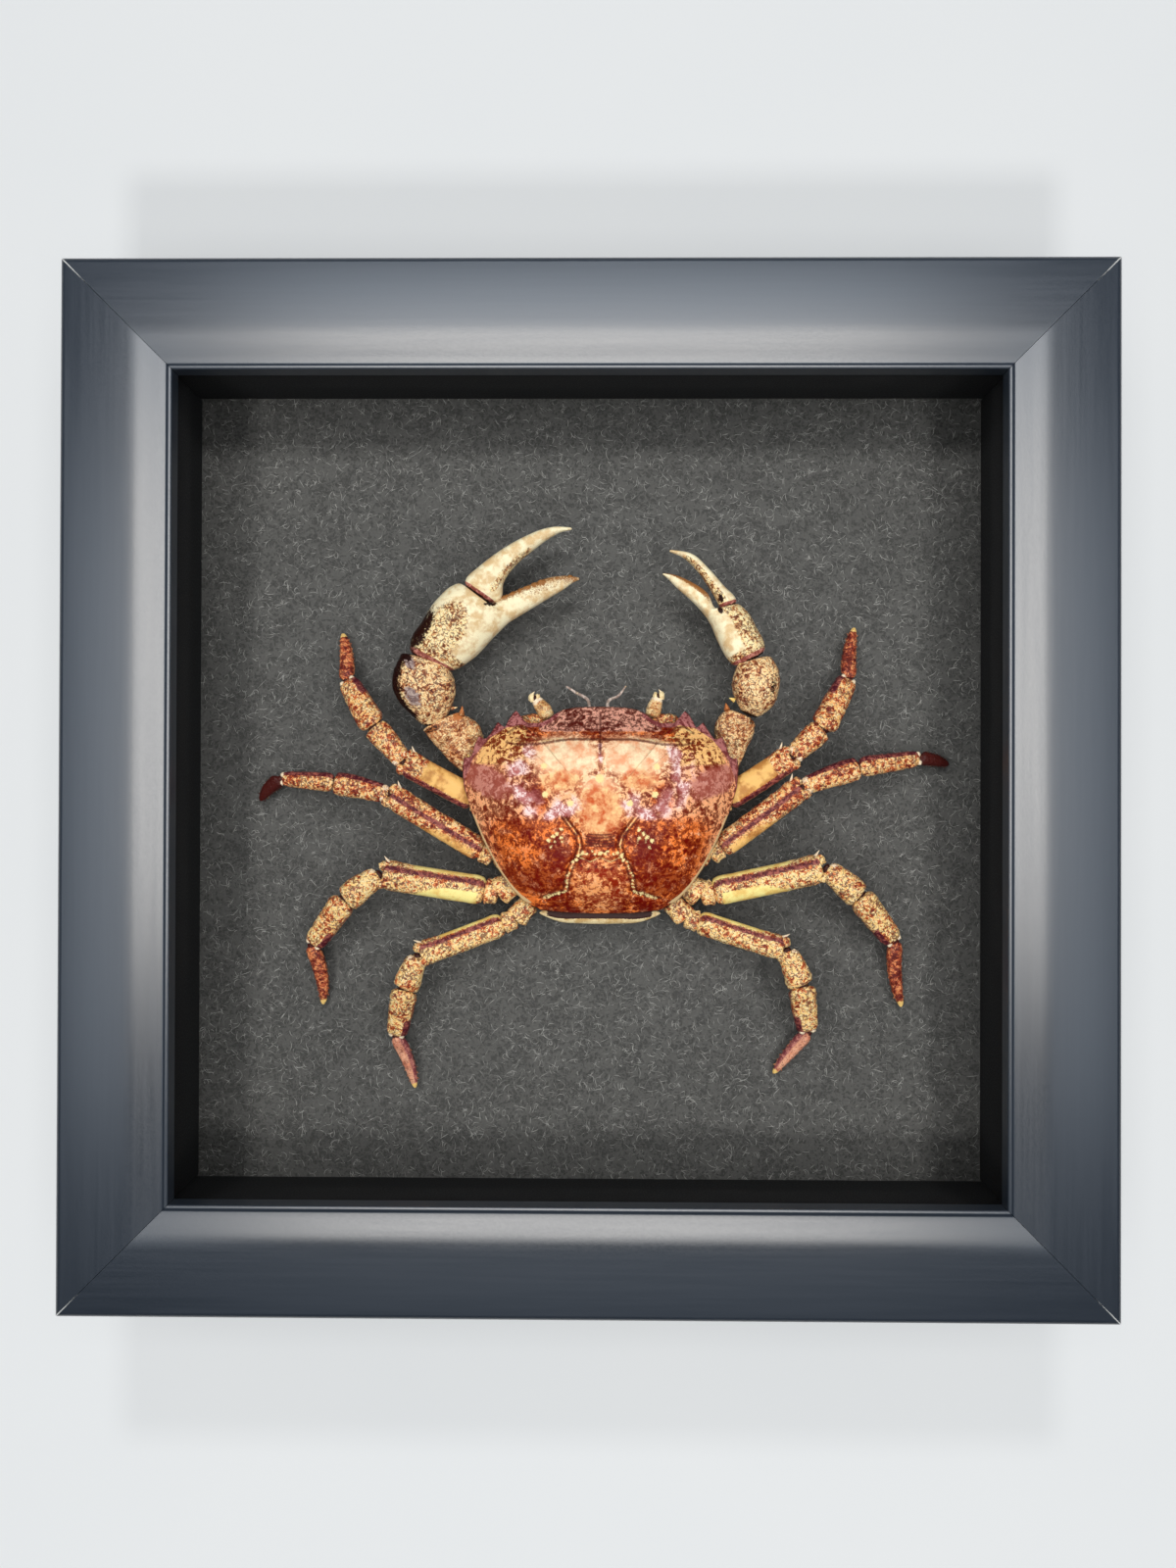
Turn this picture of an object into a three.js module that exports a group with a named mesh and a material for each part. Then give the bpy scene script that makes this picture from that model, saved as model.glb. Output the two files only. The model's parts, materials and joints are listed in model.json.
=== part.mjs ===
// Dried freshwater crab, spread out and fixed in a square black shadow box.
// Millimetres. The frame lies on its back: +Z looks out of the box, +Y is the top rail.
// The origin is the middle of the frame's back.
import * as THREE from 'three';

// ---- frame: driving dimensions ------------------------------------------------
const OUTER = 184.4;            // outside of the square moulding
const SIGHT = 146;              // opening at the sight edge
const FRAME_DEPTH = 36;         // back of the moulding to its flat face
const REBATE = 5;               // how far the lip reaches in over the wall
const EDGE_RADIUS = 1.1;        // rounding of the outer edge of the face
const FLAT_WIDTH = 11.6;        // flat part of the face, before the cove
const COVE_REACH = 2;           // how far past the flat the cove stays shallow
const COVE_DROP = 0.2;          // drop of the cove over that reach
const BEAD_WIDTH = 1.1;         // small bead along the sight edge
const BEAD_RISE = 0.3;
const BEAD_FOOT = 0.1;          // step down from the sight height beside the bead
const LIP_TOP = 34.5;           // sight edge, lower than the flat face
const LIP_THICKNESS = 3.2;
const GAP = 0.3;                // left between pieces that touch
const MITRE_GAP = 0.15;         // each rail stops this short of the mitre plane

const FACE = (OUTER - SIGHT) / 2;
const WALL_HALF = SIGHT / 2 + REBATE;
const PACK_HALF = WALL_HALF - GAP;

const PANEL_RECESS = 3;
const PANEL_THICKNESS = 2.5;
const CARD_THICKNESS = 2.7;
const GLASS_THICKNESS = 1.8;
const LINER_THICKNESS = 1.7;

const CARD_BASE = PANEL_RECESS + PANEL_THICKNESS + GAP;
const CARD_TOP = CARD_BASE + CARD_THICKNESS;
const GLASS_TOP = LIP_TOP - LIP_THICKNESS - GAP;
const GLASS_BASE = GLASS_TOP - GLASS_THICKNESS;

// hanging plate: the teeth take the middle share of its lower edge
const HANGER = {
  width: 45, height: 9, thickness: 1.2, fromTop: 14, teeth: 9, toothDepth: 2.4, toothedShare: 0.6,
};

// ---- crab: driving dimensions ---------------------------------------------------
const CRAB_X = 2.2;             // the crab sits a little right of the middle
const RIM_Z = 18.2;             // height of the carapace edge
const DOME_HEIGHT = 8.4;
const RIM_DROP = 1.2;           // closed underside of the shell, below its edge
const DOME_POWER = 2.3;
const DOME_ROWS = 14;
const LIMB_SIDES = 8;
const BODY_SIDES = 12;          // claws, thorax and abdomen
const JOINT_SLACK = 0.05;       // added to half a gap at each leg joint
const TIP_Z = 9.7;              // leg tips touch the card
const BODY_CENTRE_Y = -4;

// Half outline of the carapace from the middle of the front to the middle of the rear:
// front lobe, eye socket, corner tooth, three side teeth, side, rear margin.
const HALF_OUTLINE = [
  [0, 15.3], [4.6, 15.2], [6.8, 14.8], [8.6, 13.7], [9.7, 13.0], [11.4, 12.2], [13.9, 12.2],
  [15.2, 13.0], [16.0, 14.5], [17.1, 13.6], [18.0, 11.8], [18.6, 11.0], [19.3, 12.3], [20.4, 10.7],
  [21.2, 9.5], [22.4, 9.5], [23.7, 7.8], [24.1, 5.8], [25.5, 5.4], [25.8, 3.4], [25.5, 1.5],
  [24.0, -4.1], [22.0, -9.2], [19.4, -14.4], [16.4, -18.8], [14.2, -20.6], [10.8, -22.9],
  [5.8, -23.4], [0, -23.5],
];

// Legs: joints from the hip to the tip as [x, y, z]; widths at the middle of merus,
// carpus, propodus and at the root of the claw-like dactylus. bend pulls the dactylus
// sideways into its curve.
const LEGS = {
  left_leg1: {
    joints: [
      [-21.9, -2.2, 14.4], [-34.6, 4.8, 19], [-40.5, 11.5, 17.5],
      [-46.6, 20.7, 13], [-48.1, 30.0, TIP_Z],
    ],
    widths: [4.8, 4.1, 4.4, 2.3], bend: 0.8,
  },
  left_leg2: {
    joints: [
      [-20.4, -12.0, 14.4], [-37.3, -1.4, 19], [-48.3, 0.9, 16],
      [-59.4, 1.6, 12], [-64.1, -2.7, TIP_Z],
    ],
    widths: [4.5, 3.8, 3.1, 2.2], bend: 0.8,
  },
  left_leg3: {
    joints: [
      [-19.8, -19.6, 14.6], [-38.9, -16.3, 19], [-45.9, -21.3, 17],
      [-53.0, -30.5, 13], [-51.5, -42.3, TIP_Z],
    ],
    widths: [5.3, 4.5, 4.4, 2.3], bend: -1.4,
  },
  left_leg4: {
    joints: [
      [-16.3, -25.9, 14.6], [-31.8, -31.6, 18], [-34.6, -38.2, 16.5],
      [-36.8, -47.9, 12.5], [-33.5, -58.4, TIP_Z],
    ],
    widths: [4.4, 4.3, 4.3, 2.1], bend: -1.0,
  },
  right_leg1: {
    joints: [
      [26.3, -2.0, 14.4], [37.9, 5.9, 19], [43.8, 11.3, 17.5],
      [49.6, 21.2, 13], [51.4, 31.3, TIP_Z],
    ],
    widths: [4.8, 4.0, 4.4, 2.3], bend: -0.8,
  },
  right_leg2: {
    joints: [[25.2, -11.2, 14.4], [39.9, 0.3, 19], [51.1, 4.1, 16], [63.5, 5.9, 12], [69.7, 4.7, TIP_Z]],
    widths: [4.5, 3.8, 3.3, 2.1], bend: -0.5,
  },
  right_leg3: {
    joints: [
      [23.9, -19.6, 14.6], [44.1, -14.8, 19], [51.0, -20.3, 17],
      [58.5, -29.3, 13], [60.6, -42.2, TIP_Z],
    ],
    widths: [5.3, 4.5, 4.4, 2.3], bend: 1.2,
  },
  right_leg4: {
    joints: [
      [21.0, -25.4, 14.6], [37.0, -30.2, 18], [40.2, -37.2, 16.5],
      [42.0, -46.8, 12.5], [35.8, -55.2, TIP_Z],
    ],
    widths: [4.4, 4.4, 4.4, 2.1], bend: 0.4,
  },
};
const LEG_HEIGHT_RATIO = 0.82;  // thickness of a leg against its width seen from above

// Widths along one leg piece as [place from 0 to 1, share of the full width].
const MERUS_SHAPE = [[0, 0.5], [0.05, 0.82], [0.25, 0.97], [0.6, 1.02], [0.9, 1.04], [0.97, 0.85], [1, 0.5]];
const CARPUS_SHAPE = [[0, 0.45], [0.1, 0.72], [0.35, 0.98], [0.75, 1.1], [0.93, 0.95], [1, 0.5]];
const PROPODUS_SHAPE = [[0, 0.5], [0.07, 0.95], [0.3, 1.03], [0.65, 0.98], [0.92, 0.8], [1, 0.4]];
const DACTYLUS_SHAPE = [[0, 0.6], [0.06, 1], [0.3, 0.98], [0.6, 0.8], [0.82, 0.55], [0.95, 0.3], [1, 0.1]];

// Claw pieces as ribs across them, each [x, y] on the left, [x, y] on the right,
// height of the middle, thickness. Left and right are as seen walking along the piece.
const LEFT_CLAW = {
  left_claw_merus: [
    [[-24.3, 4.2], [-21.0, 6.3], 13.2, 1.6],
    [[-26.1, 4.6], [-20.6, 9.2], 13.4, 3.6],
    [[-28.4, 7.2], [-22.0, 12.6], 14.4, 4.4],
    [[-30.6, 10.0], [-24.6, 13.9], 15.6, 4.2],
    [[-30.4, 10.4], [-26.6, 12.7], 15.8, 1.8],
  ],
  left_claw_carpus: [
    [[-31.0, 12.1], [-28.8, 12.3], 16.2, 2.0],
    [[-34.9, 15.4], [-26.6, 14.4], 17.0, 6.6],
    [[-36.9, 19.1], [-25.2, 18.1], 17.6, 8.0],
    [[-35.9, 22.6], [-26.2, 20.9], 17.8, 7.4],
    [[-33.8, 24.6], [-28.6, 22.4], 17.8, 2.6],
  ],
  left_claw_palm: [
    [[-33.2, 25.8], [-28.2, 23.3], 17.8, 2.4],
    [[-33.4, 27.7], [-25.6, 22.3], 17.8, 6.8],
    [[-31.6, 30.7], [-21.8, 24.3], 17.8, 8.6],
    [[-28.4, 35.5], [-18.2, 28.0], 17.6, 8.8],
    [[-24.4, 38.2], [-15.6, 30.7], 17.4, 7.4],
    [[-20.2, 33.9], [-13.6, 32.1], 17.2, 5.4],
    [[-16.4, 35.9], [-10.7, 33.9], 17.0, 4.2],
    [[-11.3, 38.1], [-7.4, 35.9], 17.0, 3.4],
    [[-6.5, 39.7], [-4.6, 37.6], 17.0, 2.2],
    [[-2.4, 39.7], [-2.2, 39.3], 17.0, 0.6],
  ],
  left_claw_finger: [
    [[-22.4, 37.6], [-20.8, 35.6], 17.8, 2.6],
    [[-23.3, 39.2], [-17.3, 35.3], 17.8, 5.2],
    [[-20.8, 41.4], [-16.2, 38.5], 17.8, 4.8],
    [[-17.0, 44.3], [-14.1, 41.5], 17.8, 4.2],
    [[-12.0, 47.2], [-9.9, 45.1], 17.8, 3.2],
    [[-6.8, 49.0], [-6.0, 47.8], 17.8, 2.0],
    [[-3.6, 48.9], [-3.5, 48.6], 17.8, 0.5],
  ],
};
const RIGHT_CLAW = {
  right_claw_merus: [
    [[25.6, 6.9], [28.1, 5.4], 13.2, 1.6],
    [[24.2, 9.6], [30.2, 7.9], 13.4, 3.6],
    [[24.4, 12.6], [31.4, 10.9], 14.4, 4.2],
    [[26.6, 14.6], [30.6, 12.4], 15.4, 3.6],
    [[27.4, 14.5], [29.4, 13.3], 15.6, 1.6],
  ],
  right_claw_carpus: [
    [[29.2, 14.9], [32.0, 13.7], 16.0, 2.0],
    [[27.7, 16.9], [34.2, 15.3], 16.8, 5.6],
    [[26.9, 19.6], [35.6, 19.3], 17.4, 7.2],
    [[27.7, 22.4], [34.9, 23.2], 17.6, 6.4],
    [[29.2, 23.6], [33.2, 24.7], 17.6, 2.4],
  ],
  right_claw_palm: [
    [[28.8, 24.3], [32.3, 25.6], 17.6, 2.2],
    [[26.8, 23.4], [32.7, 26.8], 17.6, 5.4],
    [[24.2, 27.6], [31.4, 30.1], 17.4, 6.4],
    [[22.9, 30.7], [29.6, 33.2], 17.3, 6.2],
    [[22.2, 31.9], [27.6, 34.7], 17.2, 5.4],
    [[20.8, 33.7], [24.0, 33.4], 17.1, 3.8],
    [[18.9, 35.6], [22.3, 36.6], 17.0, 3.0],
    [[16.3, 37.9], [19.0, 38.9], 17.0, 2.4],
    [[14.6, 39.6], [15.8, 40.2], 17.0, 1.4],
    [[13.9, 40.3], [14.1, 40.5], 17.0, 0.5],
  ],
  right_claw_finger: [
    [[25.0, 33.8], [27.2, 35.0], 17.6, 1.8],
    [[24.1, 34.9], [27.5, 35.6], 17.6, 3.6],
    [[22.2, 38.1], [25.4, 37.7], 17.6, 3.4],
    [[20.1, 41.0], [22.6, 41.0], 17.6, 2.8],
    [[17.6, 43.3], [19.2, 44.0], 17.6, 2.0],
    [[15.1, 44.4], [15.2, 44.8], 17.6, 0.6],
  ],
};

// Body pieces, as ribs too.
const BODY = {
  thorax: [
    [[-4.0, -19.4], [4.0, -19.4], 12.4, 2.4],
    [[-9.4, -17.0], [9.4, -17.0], 12.2, 5.4],
    [[-14.6, -11.0], [14.6, -11.0], 12.1, 6.4],
    [[-16.4, -3.0], [16.4, -3.0], 12.1, 6.6],
    [[-15.0, 5.0], [15.0, 5.0], 12.1, 6.4],
    [[-10.5, 10.0], [10.5, 10.0], 12.2, 5.6],
    [[-3.4, 12.2], [3.4, 12.2], 12.6, 2.4],
  ],
  abdomen: [
    [[-11.6, -23.6], [-11.4, -24.0], 14.9, 0.8],
    [[-8.6, -22.4], [-8.2, -25.3], 14.6, 2.4],
    [[-3.0, -21.2], [-3.0, -25.8], 14.4, 2.9],
    [[3.0, -21.2], [3.0, -25.8], 14.4, 2.9],
    [[8.6, -22.4], [8.2, -25.3], 14.6, 2.4],
    [[11.6, -23.6], [11.4, -24.0], 14.9, 0.8],
  ],
};

// Eyestalks and antennae as centre points and widths, from the body outwards.
const STALKS = {
  eyestalk_left: {
    points: [[-7.9, 13.2, 15.8], [-8.6, 14.6, 16.6], [-9.6, 15.9, 17.9], [-10.5, 16.3, 18.4]],
    widths: [1.6, 2.2, 1.9, 0.8],
  },
  eyestalk_right: {
    points: [[12.0, 13.5, 15.8], [12.3, 15.0, 16.6], [12.9, 16.5, 17.9], [13.6, 16.4, 18.4]],
    widths: [1.6, 2.3, 1.9, 0.8],
  },
  antenna_left: {
    points: [[0.1, 14.9, 16.0], [-0.4, 16.6, 16.4], [-2.6, 18.1, 17.2], [-4.3, 19.2, 17.6]],
    widths: [0.9, 0.8, 0.6, 0.35],
  },
  antenna_right: {
    points: [[3.5, 14.9, 16.0], [3.6, 16.6, 16.4], [5.5, 17.5, 17.2], [6.8, 19.2, 17.6]],
    widths: [0.9, 0.8, 0.6, 0.35],
  },
};

// ---- materials ------------------------------------------------------------------
const finish = (color, roughness, metalness = 0, extra = {}) =>
  new THREE.MeshStandardMaterial({ color, roughness, metalness, ...extra });
const blackPaint = () => finish(0x1d1f22, 0.4);
const blackCard = () => finish(0x18191b, 0.9);
const greyCard = () => finish(0x3c3c3d, 0.95);
const fibreboard = () => finish(0x7a5a3c, 0.85);
const steel = () => finish(0xb0b2b5, 0.35, 1);
const clearPane = () => finish(0xffffff, 0.02, 0, { transparent: true, opacity: 0.12 });
const shellRed = () => finish(0x9c4524, 0.4);
const legTan = () => finish(0xc49058, 0.5);
const dactylRed = () => finish(0x7d3326, 0.5);
const clawCream = () => finish(0xe0d0a0, 0.4);
const softCream = () => finish(0xd9c48c, 0.6);

// ---- shaping --------------------------------------------------------------------
const object = new THREE.Group();

function addMesh(name, geometry, material, position = [0, 0, 0]) {
  const mesh = new THREE.Mesh(geometry, material);
  mesh.name = name;
  mesh.position.set(...position);
  object.add(mesh);
  return mesh;
}

function addPlate(name, [width, height, thickness], [x, y, base], material) {
  addMesh(name, new THREE.BoxGeometry(width, height, thickness), material, [x, y, base + thickness / 2]);
}

// A closed tube whose cross-sections are ellipses set on the given ribs.
// Each rib is { left, right } as [x, y], the height z of its middle and its thickness.
function loftRibs(ribs, sides = LIMB_SIDES) {
  const last = ribs.length - 1;
  const geometry = new THREE.CylinderGeometry(1, 1, last, sides, last);
  const place = geometry.attributes.position;
  for (let i = 0; i < place.count; i += 1) {
    const rib = ribs[Math.round(place.getY(i) + last / 2)];
    const across = (place.getX(i) + 1) / 2;
    const x = THREE.MathUtils.lerp(rib.left[0], rib.right[0], across);
    const y = THREE.MathUtils.lerp(rib.left[1], rib.right[1], across);
    place.setXYZ(i, x, y, rib.z + (place.getZ(i) * rib.thickness) / 2);
  }
  return geometry;
}

const listedRibs = (rows) => rows.map(([left, right, z, thickness]) => ({ left, right, z, thickness }));

// Ribs square to a centre line; width(t) and height(t) are sizes at place t.
function ribsAlong(curve, places, width, height) {
  return places.map((t) => {
    const middle = curve.getPoint(t);
    const along = curve.getTangent(t);
    const side = new THREE.Vector2(along.y, -along.x).normalize().multiplyScalar(width(t) / 2);
    return {
      left: [middle.x - side.x, middle.y - side.y],
      right: [middle.x + side.x, middle.y + side.y],
      z: middle.z,
      thickness: height(t),
    };
  });
}

// ---- frame ----------------------------------------------------------------------
// Section of the moulding: x runs from the outside edge inwards, y is height.
function railSection() {
  const section = new THREE.Shape();
  section.moveTo(0, 0);
  section.lineTo(FACE - REBATE, 0);
  section.lineTo(FACE - REBATE, LIP_TOP - LIP_THICKNESS);
  section.lineTo(FACE, LIP_TOP - LIP_THICKNESS);
  section.lineTo(FACE, LIP_TOP - BEAD_RISE);
  section.quadraticCurveTo(FACE - BEAD_WIDTH / 2, LIP_TOP + BEAD_RISE, FACE - BEAD_WIDTH, LIP_TOP - BEAD_FOOT);
  section.quadraticCurveTo(FLAT_WIDTH + COVE_REACH, FRAME_DEPTH - COVE_DROP, FLAT_WIDTH, FRAME_DEPTH);
  section.lineTo(EDGE_RADIUS, FRAME_DEPTH);
  section.quadraticCurveTo(0, FRAME_DEPTH, 0, FRAME_DEPTH - EDGE_RADIUS);
  section.closePath();
  return section;
}

// A rail along the top: the section pulled out both ways until it meets the mitre planes.
function railGeometry() {
  const halfDepth = 1;
  const geometry = new THREE.ExtrudeGeometry(railSection(), {
    depth: 2 * halfDepth, steps: 1, bevelEnabled: false, curveSegments: 4,
  });
  const place = geometry.attributes.position;
  for (let i = 0; i < place.count; i += 1) {
    const inset = place.getX(i);
    const end = (place.getZ(i) - halfDepth) / halfDepth;    // -1 at one end, 1 at the other
    const reach = OUTER / 2 - inset - MITRE_GAP;
    place.setXYZ(i, -end * reach, OUTER / 2 - inset, place.getY(i));
  }
  return geometry;
}

function addRails() {
  const quarterTurns = { rail_top: 0, rail_left: 1, rail_bottom: 2, rail_right: 3 };
  for (const [name, turns] of Object.entries(quarterTurns)) {
    const geometry = railGeometry();
    geometry.rotateZ((turns * Math.PI) / 2);
    addMesh(name, geometry, blackPaint());
  }
}

function addLiners() {
  const height = GLASS_BASE - GAP - (CARD_TOP + GAP);
  const base = CARD_TOP + GAP;
  const off = PACK_HALF - LINER_THICKNESS / 2;
  const full = PACK_HALF * 2;
  const between = full - 2 * (LINER_THICKNESS + GAP);
  addPlate('liner_top', [full, LINER_THICKNESS, height], [0, off, base], blackCard());
  addPlate('liner_bottom', [full, LINER_THICKNESS, height], [0, -off, base], blackCard());
  addPlate('liner_left', [LINER_THICKNESS, between, height], [-off, 0, base], blackCard());
  addPlate('liner_right', [LINER_THICKNESS, between, height], [off, 0, base], blackCard());
}

// Steel hanging plate with a toothed lower edge, fixed to the back panel.
function addHanger() {
  const { width, height, thickness, fromTop, teeth, toothDepth, toothedShare } = HANGER;
  const plate = new THREE.Shape();
  plate.moveTo(-width / 2, 0);
  plate.lineTo(-width / 2, height);
  plate.lineTo(width / 2, height);
  plate.lineTo(width / 2, 0);
  const toothed = width * toothedShare;
  const pitch = toothed / teeth;
  for (let i = 0; i < teeth; i += 1) {
    const right = toothed / 2 - i * pitch;
    plate.lineTo(right, 0);
    plate.lineTo(right - pitch / 2, toothDepth);
  }
  plate.lineTo(-toothed / 2, 0);
  plate.closePath();
  const geometry = new THREE.ExtrudeGeometry(plate, { depth: thickness, bevelEnabled: false });
  const y = PACK_HALF - fromTop - height;
  addMesh('hanger', geometry, steel(), [0, y, PANEL_RECESS - GAP - thickness]);
}

function addFrame() {
  const full = PACK_HALF * 2;
  addRails();
  addPlate('glass', [full, full, GLASS_THICKNESS], [0, 0, GLASS_BASE], clearPane());
  addLiners();
  addPlate('backing_card', [full, full, CARD_THICKNESS], [0, 0, CARD_BASE], greyCard());
  addPlate('back_panel', [full, full, PANEL_THICKNESS], [0, 0, PANEL_RECESS], fibreboard());
  addHanger();
}

// ---- crab body --------------------------------------------------------------------
// The whole outline, anticlockwise from the middle of the front.
function carapaceOutline() {
  const leftSide = HALF_OUTLINE.map(([x, y]) => [-x, y]);
  const rightSide = HALF_OUTLINE.slice(1, -1).reverse();
  return [...leftSide, ...rightSide];
}

// A closed shell: a sphere whose columns run to the outline's points, domed above
// the rim and nearly flat below it.
function carapaceGeometry() {
  const outline = carapaceOutline();
  const geometry = new THREE.SphereGeometry(1, outline.length, DOME_ROWS);
  const place = geometry.attributes.position;
  for (let i = 0; i < place.count; i += 1) {
    const turn = Math.atan2(place.getZ(i), -place.getX(i)) / (2 * Math.PI);
    const column = Math.round(turn * outline.length + outline.length) % outline.length;
    const reach = Math.min(1, Math.hypot(place.getX(i), place.getZ(i)));
    const above = place.getY(i) >= 0;
    const rise = 1 - reach ** DOME_POWER;
    const z = above ? RIM_Z + DOME_HEIGHT * rise : RIM_Z - RIM_DROP * rise;
    const [edgeX, edgeY] = outline[column];
    place.setXYZ(i, edgeX * reach, THREE.MathUtils.lerp(BODY_CENTRE_Y, edgeY, reach), z);
  }
  return geometry;
}

function addBody() {
  addMesh('carapace', carapaceGeometry(), shellRed(), [CRAB_X, 0, 0]);
  for (const [name, rows] of Object.entries(BODY)) {
    addMesh(name, loftRibs(listedRibs(rows), BODY_SIDES), softCream(), [CRAB_X, 0, 0]);
  }
  for (const [name, { points, widths }] of Object.entries(STALKS)) {
    const curve = new THREE.CatmullRomCurve3(points.map((point) => new THREE.Vector3(...point)));
    const places = widths.map((_, i) => i / (widths.length - 1));
    const width = (t) => widths[Math.round(t * (widths.length - 1))];
    addMesh(name, loftRibs(ribsAlong(curve, places, width, width)), softCream());
  }
}

function addClaws() {
  for (const [name, rows] of Object.entries({ ...LEFT_CLAW, ...RIGHT_CLAW })) {
    const pale = name.endsWith('palm') || name.endsWith('finger');
    addMesh(name, loftRibs(listedRibs(rows), BODY_SIDES), pale ? clawCream() : legTan());
  }
}

// ---- legs -------------------------------------------------------------------------
// How far a piece stops short of a joint so that its end clears the next piece.
function clearance(before, after, endWidth) {
  const halfBend = before.angleTo(after) / 2;
  return GAP / 2 + JOINT_SLACK + (endWidth / 2) * Math.tan(halfBend);
}

function legPiece(start, end, width, shape, bend = 0) {
  const middle = start.clone().lerp(end, 0.5);
  const along = end.clone().sub(start).normalize();
  middle.x += along.y * bend;
  middle.y -= along.x * bend;
  const curve = new THREE.QuadraticBezierCurve3(start, middle, end);
  const share = new Map(shape);
  const widthAt = (t) => width * share.get(t);
  const heightAt = (t) => width * share.get(t) * LEG_HEIGHT_RATIO;
  return loftRibs(ribsAlong(curve, [...share.keys()], widthAt, heightAt));
}

function addLeg(leg, { joints, widths, bend }) {
  const pieces = [
    ['merus', MERUS_SHAPE, legTan],
    ['carpus', CARPUS_SHAPE, legTan],
    ['propodus', PROPODUS_SHAPE, legTan],
    ['dactylus', DACTYLUS_SHAPE, dactylRed],
  ];
  const points = joints.map((joint) => new THREE.Vector3(...joint));
  const runs = pieces.map((_, i) => points[i + 1].clone().sub(points[i]));
  pieces.forEach(([piece, shape, material], i) => {
    const along = runs[i].clone().normalize();
    const startWidth = widths[i] * shape[0][1];
    const endWidth = widths[i] * shape[shape.length - 1][1];
    const startGap = i === 0 ? 0 : clearance(runs[i - 1], runs[i], startWidth);
    const endGap = i === pieces.length - 1 ? 0 : clearance(runs[i], runs[i + 1], endWidth);
    const start = points[i].clone().addScaledVector(along, startGap);
    const end = points[i + 1].clone().addScaledVector(along, -endGap);
    const curveBend = piece === 'dactylus' ? bend : 0;
    addMesh(`${leg}_${piece}`, legPiece(start, end, widths[i], shape, curveBend), material());
  });
}

addFrame();
addBody();
addClaws();
for (const [leg, shape] of Object.entries(LEGS)) {
  addLeg(leg, shape);
}

export default object;
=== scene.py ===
import json
import math

import bmesh
import bpy
import numpy as np
from mathutils import Matrix, Vector, noise

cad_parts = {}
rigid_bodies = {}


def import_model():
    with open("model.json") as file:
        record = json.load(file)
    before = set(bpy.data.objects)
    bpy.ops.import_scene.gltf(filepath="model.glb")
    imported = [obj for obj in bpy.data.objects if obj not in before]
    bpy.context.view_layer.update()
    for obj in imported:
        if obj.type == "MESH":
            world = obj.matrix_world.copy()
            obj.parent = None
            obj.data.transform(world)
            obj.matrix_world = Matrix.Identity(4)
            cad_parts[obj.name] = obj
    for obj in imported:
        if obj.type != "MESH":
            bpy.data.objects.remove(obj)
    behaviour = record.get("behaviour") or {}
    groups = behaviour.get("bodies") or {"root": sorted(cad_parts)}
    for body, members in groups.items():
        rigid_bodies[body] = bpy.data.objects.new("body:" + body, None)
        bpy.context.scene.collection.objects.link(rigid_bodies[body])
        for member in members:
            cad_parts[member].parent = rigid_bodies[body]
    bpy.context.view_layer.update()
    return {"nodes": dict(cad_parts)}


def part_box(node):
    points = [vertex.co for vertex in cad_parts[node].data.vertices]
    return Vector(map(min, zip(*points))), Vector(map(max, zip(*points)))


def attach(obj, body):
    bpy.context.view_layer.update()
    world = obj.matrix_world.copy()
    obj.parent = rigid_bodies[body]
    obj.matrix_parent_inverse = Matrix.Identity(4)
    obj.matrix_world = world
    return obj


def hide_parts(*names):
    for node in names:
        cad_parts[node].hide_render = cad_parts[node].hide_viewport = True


# a dried crab spread out on dark card in a black shadow box that lies on a pale table
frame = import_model()
mm = 0.001
tiny = 1e-6     # how far apart two points may be and still count as one, in metres


def srgb(red, green, blue):
    # screen colour, 0 to 255, to the linear values that shaders use
    levels = [c / 255 for c in (red, green, blue)]
    return (*[((c + 0.055) / 1.055) ** 2.4 if c > 0.04 else c / 12.92 for c in levels], 1.0)


# node helpers: a socket is linked, a plain value is set
def wire(tree, target, value):
    if isinstance(value, bpy.types.NodeSocket):
        tree.links.new(value, target)
    else:
        target.default_value = value


def addNode(tree, kind, inputs=None, **settings):
    made = tree.nodes.new("ShaderNode" + kind)
    for key, value in settings.items():
        setattr(made, key, value)
    for key, value in (inputs or {}).items():
        wire(tree, made.inputs[key], value)
    return made


def blendColour(tree, factor, first, second):
    return addNode(tree, "Mix", {0: factor, 6: first, 7: second}, data_type="RGBA").outputs[2]


def maths(tree, operation, first, second=0.0):
    return addNode(tree, "Math", {0: first, 1: second}, operation=operation).outputs[0]


def ease(tree, value, low, high, start=0.0, end=1.0):
    # smooth step from start to end as value goes from low to high
    made = addNode(tree, "MapRange", {"Value": value, "From Min": low, "From Max": high,
                                      "To Min": start, "To Max": end}, interpolation_type="SMOOTHSTEP")
    return made.outputs["Result"]


def cloud(tree, place, size, detail=2.0, rough=0.55, warp=0.0):
    # noise whose lumps are about size metres wide
    return addNode(tree, "TexNoise", {"Vector": place, "Scale": 1 / size, "Detail": detail,
                                      "Roughness": rough, "Distortion": warp}).outputs["Fac"]


def paintChannels(tree, name):
    # red, green, blue and alpha of a colour that the mesh carries
    made = addNode(tree, "Attribute", attribute_name=name)
    split = addNode(tree, "SeparateColor", {0: made.outputs["Color"]})
    return (*split.outputs, made.outputs["Alpha"])


def newGroup(name, inputs, outputs):
    tree = bpy.data.node_groups.new(name, "ShaderNodeTree")
    for label, kind, value in inputs:
        socket = tree.interface.new_socket(label, in_out="INPUT", socket_type="NodeSocket" + kind)
        if value is not None:
            socket.default_value = value
    for label, kind in outputs:
        tree.interface.new_socket(label, in_out="OUTPUT", socket_type="NodeSocket" + kind)
    entry, leave = tree.nodes.new("NodeGroupInput"), tree.nodes.new("NodeGroupOutput")
    return tree, entry.outputs, leave.inputs


def useGroup(tree, group, **inputs):
    made = tree.nodes.new("ShaderNodeGroup")
    made.node_tree = group
    for key, value in inputs.items():
        wire(tree, made.inputs[key], value)
    return made.outputs


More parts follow.
